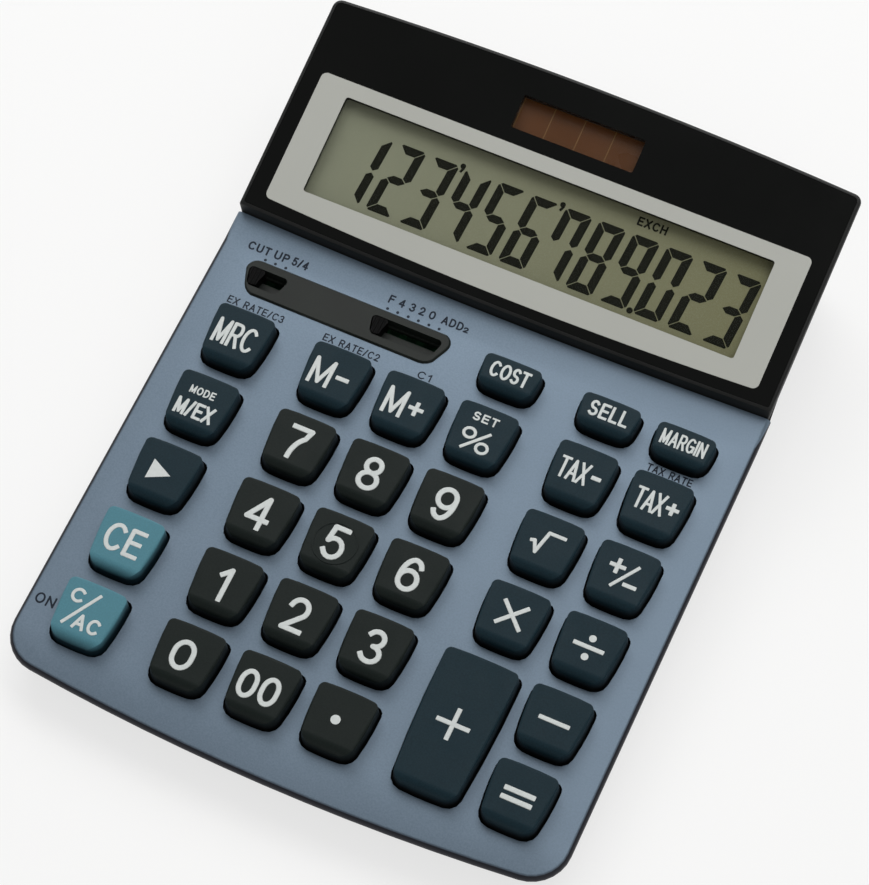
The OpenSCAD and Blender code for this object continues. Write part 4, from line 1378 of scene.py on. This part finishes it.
    def hexagon(self) -> List[Point]:
        """Corners of the middle stroke, pointed between the uprights."""
        w, h, s = self.digit_w, self.digit_top - self.digit_low, self.stroke
        half = s * self.middle_share
        point = half * s / (2 * self.tip)
        return [
            (s / 2, h / 2), (s / 2 + point, h / 2 + half), (w - s / 2 - point, h / 2 + half),
            (w - s / 2, h / 2), (w - s / 2 - point, h / 2 - half), (s / 2 + point, h / 2 - half),
        ]

    def stroke_shape(self, stroke: Segment) -> Shape:
        """One stroke of a digit whose lower left corner is at the origin.

        Args:
            stroke: The stroke.

        Returns:
            Its shape; strokes on the right and below mirror those on the left and above.
        """
        w, h = self.digit_w, self.digit_top - self.digit_low
        corners = self.upright()
        if stroke is Segment.MIDDLE:
            corners = self.hexagon()
        elif stroke in (Segment.TOP, Segment.BOTTOM):
            corners = self.across()
        if stroke in (Segment.UPPER_RIGHT, Segment.LOWER_RIGHT):
            corners = [(w - x, y) for x, y in corners]
        if stroke in (Segment.BOTTOM, Segment.LOWER_LEFT, Segment.LOWER_RIGHT):
            corners = [(x, h - y) for x, y in corners]
        return Shape(tuple(corners))

    def number(self) -> Piece:
        """Lay out the shown number with its separators, point and the word above it."""
        masters = {stroke: self.stroke_shape(stroke).model(self.ink_t) for stroke in Segment}
        lean = Matrix.Identity(4)
        lean[0][1] = math.tan(math.radians(self.slant))
        height = self.digit_top - self.digit_low
        face_z = self.crystal_z - self.ink_sink
        pieces: List[Piece] = []
        for slot, digit in enumerate(self.shown):
            left = self.first_x + self.pitch * slot - height * lean[0][1]
            place = Matrix.Translation((left, self.digit_low, face_z)) @ lean
            for stroke in Segment:
                if stroke.value in STROKES[digit]:
                    copy = twin(masters[stroke], "stroke")
                    copy.data.transform(place)
                    pieces.append(copy)
        for master in masters.values():
            bpy.data.objects.remove(master, do_unlink=True)
        for mark in self.signs():
            pieces.append(settle(mark.model(self.ink_t), Matrix.Translation((0.0, 0.0, face_z))))
        return settle(join("crystal_segments", pieces), LAYOUT.matrix(Plane.DISPLAY))

    def signs(self) -> List[Mark]:
        """The decimal point, the word above the number, and a dot with a tail for each separator."""
        marks: List[Mark] = [Dot(30.8, 12.3, 1.7), Word("EXCH", 27.4, 35.7, 8.2, 2.5, 0.5)]
        for x in self.comma_x:
            marks += [Dot(x, 32.3, 1.5), line((x + 0.45, 32.0), (x - 0.15, 30.5), 0.7)]
        return marks


Legend = Tuple[float, float, List[Mark]]


@dataclass
class Keypad:
    """The 32 keys with their legends, and the rubber and the board under them."""

    key_h: float = 4.6
    column_x: Tuple[float, ...] = (-58.3, -30.9, -10.3, 10.3, 37.7, 58.3)
    row_y: Tuple[float, ...] = (123.8, 105.6, 84.4, 63.2, 42.0, 20.8)
    tall_key_off: float = 1.2
    numeral_h: float = 9.8
    numeral_pen: float = 1.45
    legend_t: float = 0.04
    smooth_angle: float = 40.0
    rubber_top: float = -6.2
    seam: float = 0.01
    dome_keep: float = 0.4

    def build(self) -> None:
        """Dress each key and print its legend, then see to the rubber, the board and what sits on it."""
        legends = {**self.upper_rows(), **self.lower_rows()}
        for node, (x, y, marks) in legends.items():
            dress_nodes(self.finish(node), [node])
            legend = print_marks(node + "_legend", marks, Plane.KEYPAD, (x, y, self.key_h), self.legend_t)
            add_piece(legend, node + "_body", LEGEND_INK)
        self.rubber(legends)
        dress_nodes(BOARD_GREEN, ["main_board"])
        dress_nodes(CHIP_RESIN, ["controller_chip"])
        dress_nodes(SLEEVE_FILM, ["capacitor"])

    def rubber(self, legends: Dict[str, Legend]) -> None:
        """Part the domes from the rubber sheet, and name each dome after the key above it.

        Args:
            legends: Middle of each key with its marks, by CAD node.
        """
        place = LAYOUT.matrix(Plane.KEYPAD)
        up = (place.to_3x3() @ Vector((0.0, 0.0, 1.0))).normalized()
        foot = place @ Vector((0.0, 0.0, self.rubber_top))
        cut_at = foot + up * (self.seam * MM)
        sheet = smooth_copy("rubber_keypad", "rubber_sheet", self.smooth_angle)
        domes = smooth_copy("rubber_keypad", "rubber_domes", self.smooth_angle)
        part_off(sheet, cut_at, up, False)
        part_off(domes, cut_at, up, True)
        add_piece(sheet, BASE, DOME_RUBBER, "rubber_keypad")
        for dome in loose_pieces(domes):
            total = sum((vertex.co for vertex in dome.data.vertices), Vector())
            spot = place.inverted() @ (total / len(dome.data.vertices))
            node = min(legends, key=lambda name: math.dist(legends[name][:2], spot[:2]))
            dome.name = node + "_dome"
            dome.data.name = dome.name
            add_piece(dome, BASE, DOME_RUBBER, "rubber_keypad")
            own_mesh(dome)

    def finish(self, node: str) -> KeyCap:
        """Colour of a key: pale for the clearing keys, black for the numbers, else dark teal.

        Args:
            node: CAD node of the key.

        Returns:
            Its finish.
        """
        if node in ("key_ce", "key_ac"):
            return KEY_PALE
        if node == "key_point" or node.split("_")[1].isdigit():
            return KEY_BLACK
        return KEY_TEAL

    def numeral(self, text: str, x: float = 0.0, y: float = -0.2, width: float = 6.2) -> List[Mark]:
        """A numeral on a number key, given from the key's middle."""
        return [Word(text, x, y, width, self.numeral_h, self.numeral_pen)]

    def upper_rows(self) -> Dict[str, Legend]:
        """Legends of the three upper rows.

        Returns:
            Middle of the key and marks from that middle, by CAD node.
        """
        c = self.column_x
        r = self.row_y
        return {
            "key_cost": (c[3], r[0], [Word("COST", 0.0, 0.55, 10.8, 4.7, 0.78, 0.22)]),
            "key_sell": (c[4], r[0], [Word("SELL", 0.1, 0.6, 10.8, 4.6, 0.78, 0.24)]),
            "key_margin": (c[5], r[0], [Word("MARGIN", 0.0, 0.6, 12.2, 4.4, 0.62, 0.22)]),
            "key_recall": (c[0], r[1], [Word("MRC", -0.4, 0.1, 11.3, 7.4, 0.95, 0.2)]),
            "key_m_minus": (c[1], r[1], [
                Word("M", -3.0, -0.2, 5.9, 8.0, 1.1),
                line((0.95, -0.2), (4.55, -0.2), 1.25),
            ]),
            "key_m_plus": (c[2], r[1], [
                Word("M", -2.9, -0.2, 5.6, 8.0, 1.1),
                *self.cross(2.85, -0.2, 4.1, 1.15),
            ]),
            "key_percent": (c[3], r[1], [
                Word("SET", -0.3, 4.45, 6.9, 2.5, 0.5),
                Word("%", -0.3, -2.1, 8.5, 6.6, 0.85),
            ]),
            "key_tax_minus": (c[4], r[1], [
                Word("TAX", -1.75, 0.5, 8.1, 6.2, 0.78, 0.12),
                line((3.05, 0.5), (5.65, 0.5), 1.2),
            ]),
            "key_tax_plus": (c[5], r[1], [
                Word("TAX", -1.55, 0.5, 8.1, 6.2, 0.78, 0.12),
                *self.cross(4.55, 0.5, 3.5, 1.1),
            ]),
            "key_mode": (c[0], r[2], [
                Word("MODE", -0.7, 3.05, 7.0, 2.3, 0.44),
                Word("M/EX", -0.45, -2.35, 10.6, 4.8, 0.85, 0.18),
            ]),
            "key_7": (c[1], r[2], self.numeral("7", 0.0, 0.0)),
            "key_8": (c[2], r[2], self.numeral("8")),
            "key_9": (c[3], r[2], self.numeral("9")),
            "key_root": (c[4], r[2], [
                Pen((((-3.6, -0.2), (-2.9, 0.0), (-1.7, -2.9), (-0.2, 3.2), (3.9, 3.2)),), 1.0),
            ]),
            "key_sign": (c[5], r[2], [
                *self.cross(-1.85, 2.0, 4.3, 1.15),
                line((3.45, 3.8), (-1.75, -3.8), 0.9),
                line((1.05, -2.1), (4.75, -2.1), 1.15),
            ]),
        }

    def lower_rows(self) -> Dict[str, Legend]:
        """Legends of the three lower rows.

        Returns:
            Middle of the key and marks from that middle, by CAD node.
        """
        c = self.column_x
        r = self.row_y
        tall = (c[4] - self.tall_key_off, (r[4] + r[5]) / 2)
        return {
            "key_shift": (c[0], r[3], [Shape(((-3.5, 2.5), (-3.5, -3.25), (2.3, -0.4)))]),
            "key_4": (c[1], r[3], self.numeral("4", -0.25, -0.2, 6.6)),
            "key_5": (c[2], r[3], self.numeral("5", -0.05, 0.0)),
            "key_6": (c[3], r[3], self.numeral("6")),
            "key_times": (c[4], r[3], [
                line((-3.15, 3.6), (3.55, -3.2), 1.15),
                line((-3.15, -3.2), (3.55, 3.6), 1.15),
            ]),
            "key_divide": (c[5], r[3], [
                line((-3.95, 0.1), (4.25, 0.1), 1.2),
                Dot(0.25, 2.6, 1.9),
                Dot(0.25, -2.6, 1.9),
            ]),
            "key_ce": (c[0], r[4], [Word("CE", -0.4, 0.2, 10.2, 8.0, 1.22, 0.18)]),
            "key_1": (c[1], r[4], [Word("1", -0.2, -0.35, 3.3, 9.7, 1.4)]),
            "key_2": (c[2], r[4], self.numeral("2", -0.3, -0.35)),
            "key_3": (c[3], r[4], self.numeral("3", 0.0, -0.35, 6.0)),
            "key_plus": (tall[0], tall[1], self.cross(0.0, -0.25, 8.9, 1.25)),
            "key_minus": (c[5], r[4], [line((-3.75, -0.2), (4.45, -0.2), 1.2)]),
            "key_ac": (c[0], r[5], [
                Word("C", -3.95, 3.4, 3.7, 4.1, 0.86),
                line((1.55, 5.6), (-4.65, -4.9), 0.9),
                Word("AC", 1.55, -2.9, 7.1, 4.3, 0.86, 0.18),
            ]),
            "key_0": (c[1], r[5], [Word("0", -0.6, -0.35, 6.3, 8.5, 1.4)]),
            "key_00": (c[2], r[5], [Word("00", -0.45, -0.5, 11.0, 8.1, 1.35, 0.16)]),
            "key_point": (c[3], r[5], [Dot(-0.35, -0.3, 2.5)]),
            "key_equals": (c[5], r[5], [
                line((-3.95, 0.9), (4.25, 0.9), 1.4),
                line((-3.95, -1.5), (4.25, -1.5), 1.4),
            ]),
        }

    def cross(self, x: float, y: float, size: float, width: float) -> List[Mark]:
        """A plus sign.

        Args:
            x: Centre across the keypad.
            y: Centre up the keypad.
            size: Length of each stroke.
            width: Width of each stroke.

        Returns:
            Its two strokes.
        """
        half = size / 2
        return [line((x - half, y), (x + half, y), width), line((x, y - half), (x, y + half), width)]


@dataclass
class Switches:
    """The oval inset and the two slide switches in it."""

    def build(self) -> None:
        """Dress the inset, the knobs and their wipers."""
        dress_nodes(INSET_DARK, ["switch_inset"])
        dress_nodes(KNOB_BLACK, ["rounding_knob", "decimal_knob"])
        dress_nodes(BRASS, ["rounding_wiper", "decimal_wiper"])


@dataclass(frozen=True)
class Softbox:
    """A softbox that faces the calculator: its place and size in metres, and its power in watts."""

    name: str
    place: Place
    size: Pair
    power: float

    def hang(self) -> None:
        """Add the light to the scene."""
        lamp = bpy.data.lights.new(self.name, "AREA")
        lamp.shape = "RECTANGLE"
        lamp.size, lamp.size_y = self.size
        lamp.energy = self.power
        light = bpy.data.objects.new(self.name, lamp)
        bpy.context.scene.collection.objects.link(light)
        light.location = self.place
        light.rotation_euler = (-Vector(self.place)).to_track_quat("-Z", "Y").to_euler()


@dataclass
class Studio:
    """Camera, soft lights, pale floor and white surround."""

    camera_at: Place = (0.166212, -0.389299, 0.779234)
    camera_turn: Place = (29.2352, -0.3891, 24.6576)
    lens: float = 139.296
    sensor: float = 36.0
    shift: Pair = (0.02454, -0.01645)
    near: float = 0.01
    ambient: float = 0.37
    wall_fade: Pair = (0.15, 0.55)
    floor_size: float = 12.0
    floor_z: float = -0.0002
    floor_pale: str = "#f2f2f0"
    floor_glow: float = 0.7
    lights: Tuple[Softbox, ...] = (
        Softbox("softbox_back_left", (-0.6, 0.95, 1.0), (1.0, 0.8), 10.0),
        Softbox("softbox_back", (0.15, 0.5, 1.1), (0.7, 0.6), 4.2),
        Softbox("softbox_front_fill", (0.9, -0.7, 0.9), (1.0, 1.0), 1.8),
    )

    def build(self) -> None:
        """Set up the view, the light and the surround."""
        bpy.context.scene.view_settings.view_transform = "Standard"
        self.camera()
        self.world()
        self.floor()
        for light in self.lights:
            light.hang()

    def camera(self) -> None:
        """Place the camera at the photograph's angle."""
        lens = bpy.data.cameras.new("camera")
        lens.lens = self.lens
        lens.sensor_width = self.sensor
        lens.shift_x, lens.shift_y = self.shift
        lens.clip_start = self.near
        view = bpy.data.objects.new("camera", lens)
        bpy.context.scene.collection.objects.link(view)
        view.location = self.camera_at
        view.rotation_euler = [math.radians(a) for a in self.camera_turn]
        bpy.context.scene.camera = view

    def world(self) -> None:
        """A grey studio that the camera sees as white, with bright walls low down for reflections."""
        world = bpy.data.worlds.new("studio")
        bpy.context.scene.world = world
        world.use_nodes = True
        tree = world.node_tree
        tree.nodes.clear()
        seen = self.seen(tree, self.low_wall(tree))
        grey = add_node(tree, "ShaderNodeBackground", None, {"Color": WHITE, "Strength": self.ambient})
        white = add_node(tree, "ShaderNodeBackground", None, {"Color": WHITE, "Strength": 1.0})
        mixed = add_node(tree, "ShaderNodeMixShader", None, {
            0: seen, 1: grey.outputs["Background"], 2: white.outputs["Background"],
        })
        add_node(tree, "ShaderNodeOutputWorld", None, {"Surface": mixed.outputs["Shader"]})

    def low_wall(self, tree: Tree) -> Socket:
        """One near the horizon and below it, nought overhead."""
        coords = add_node(tree, "ShaderNodeTexCoord")
        up = add_node(tree, "ShaderNodeSeparateXYZ", None, {"Vector": coords.outputs["Generated"]})
        fall = add_node(tree, "ShaderNodeMapRange", {"clamp": True}, {
            "Value": up.outputs["Z"], "From Min": self.wall_fade[0], "From Max": self.wall_fade[1],
            "To Min": 1.0, "To Max": 0.0,
        })
        return fall.outputs["Result"]

    def seen(self, tree: Tree, share: Union[float, Socket]) -> Socket:
        """How far a ray sees the white surround: fully for the camera, by a share for gloss and glass.

        Args:
            tree: Node tree that takes the nodes.
            share: Value or output that scales what gloss and glass see.

        Returns:
            A factor from 0 to 1.
        """
        path = add_node(tree, "ShaderNodeLightPath")
        both = add_node(tree, "ShaderNodeMath", {"operation": "MAXIMUM"}, {
            0: path.outputs["Is Glossy Ray"], 1: path.outputs["Is Transmission Ray"],
        })
        scaled = add_node(tree, "ShaderNodeMath", {"operation": "MULTIPLY"}, {
            0: both.outputs["Value"], 1: share,
        })
        top = add_node(tree, "ShaderNodeMath", {"operation": "MAXIMUM"}, {
            0: path.outputs["Is Camera Ray"], 1: scaled.outputs["Value"],
        })
        return top.outputs["Value"]

    def floor(self) -> None:
        """A pale floor that shows white and keeps part of the shadow."""
        bpy.ops.object.select_all(action="DESELECT")
        bpy.ops.mesh.primitive_plane_add(size=self.floor_size, location=(0.0, 0.0, self.floor_z))
        ground = bpy.context.object
        ground.name = "floor"
        bpy.ops.object.transform_apply(location=True, rotation=True, scale=True)
        material = new_material("pale_floor")
        tree = material.node_tree
        matt = add_node(tree, "ShaderNodeBsdfDiffuse", None, {"Color": linear(self.floor_pale)})
        glow = add_node(tree, "ShaderNodeEmission", None, {"Color": WHITE, "Strength": 1.0})
        share = add_node(tree, "ShaderNodeMath", {"operation": "MULTIPLY"}, {
            0: self.seen(tree, 1.0), 1: self.floor_glow,
        })
        mixed = add_node(tree, "ShaderNodeMixShader", None, {
            0: share.outputs["Value"], 1: matt.outputs["BSDF"], 2: glow.outputs["Emission"],
        })
        add_node(tree, "ShaderNodeOutputMaterial", None, {"Surface": mixed.outputs["Shader"]})
        ground.data.materials.append(material)


def main() -> None:
    """Build every sub-assembly in order."""
    logging.basicConfig(level=logging.INFO, format="%(message)s")
    for part in (Studio(), Case(), Fascia(), Display(), Keypad(), Switches()):
        LOG.info("building %s", type(part).__name__)
        part.build()


if __name__ == "__main__":
    main()
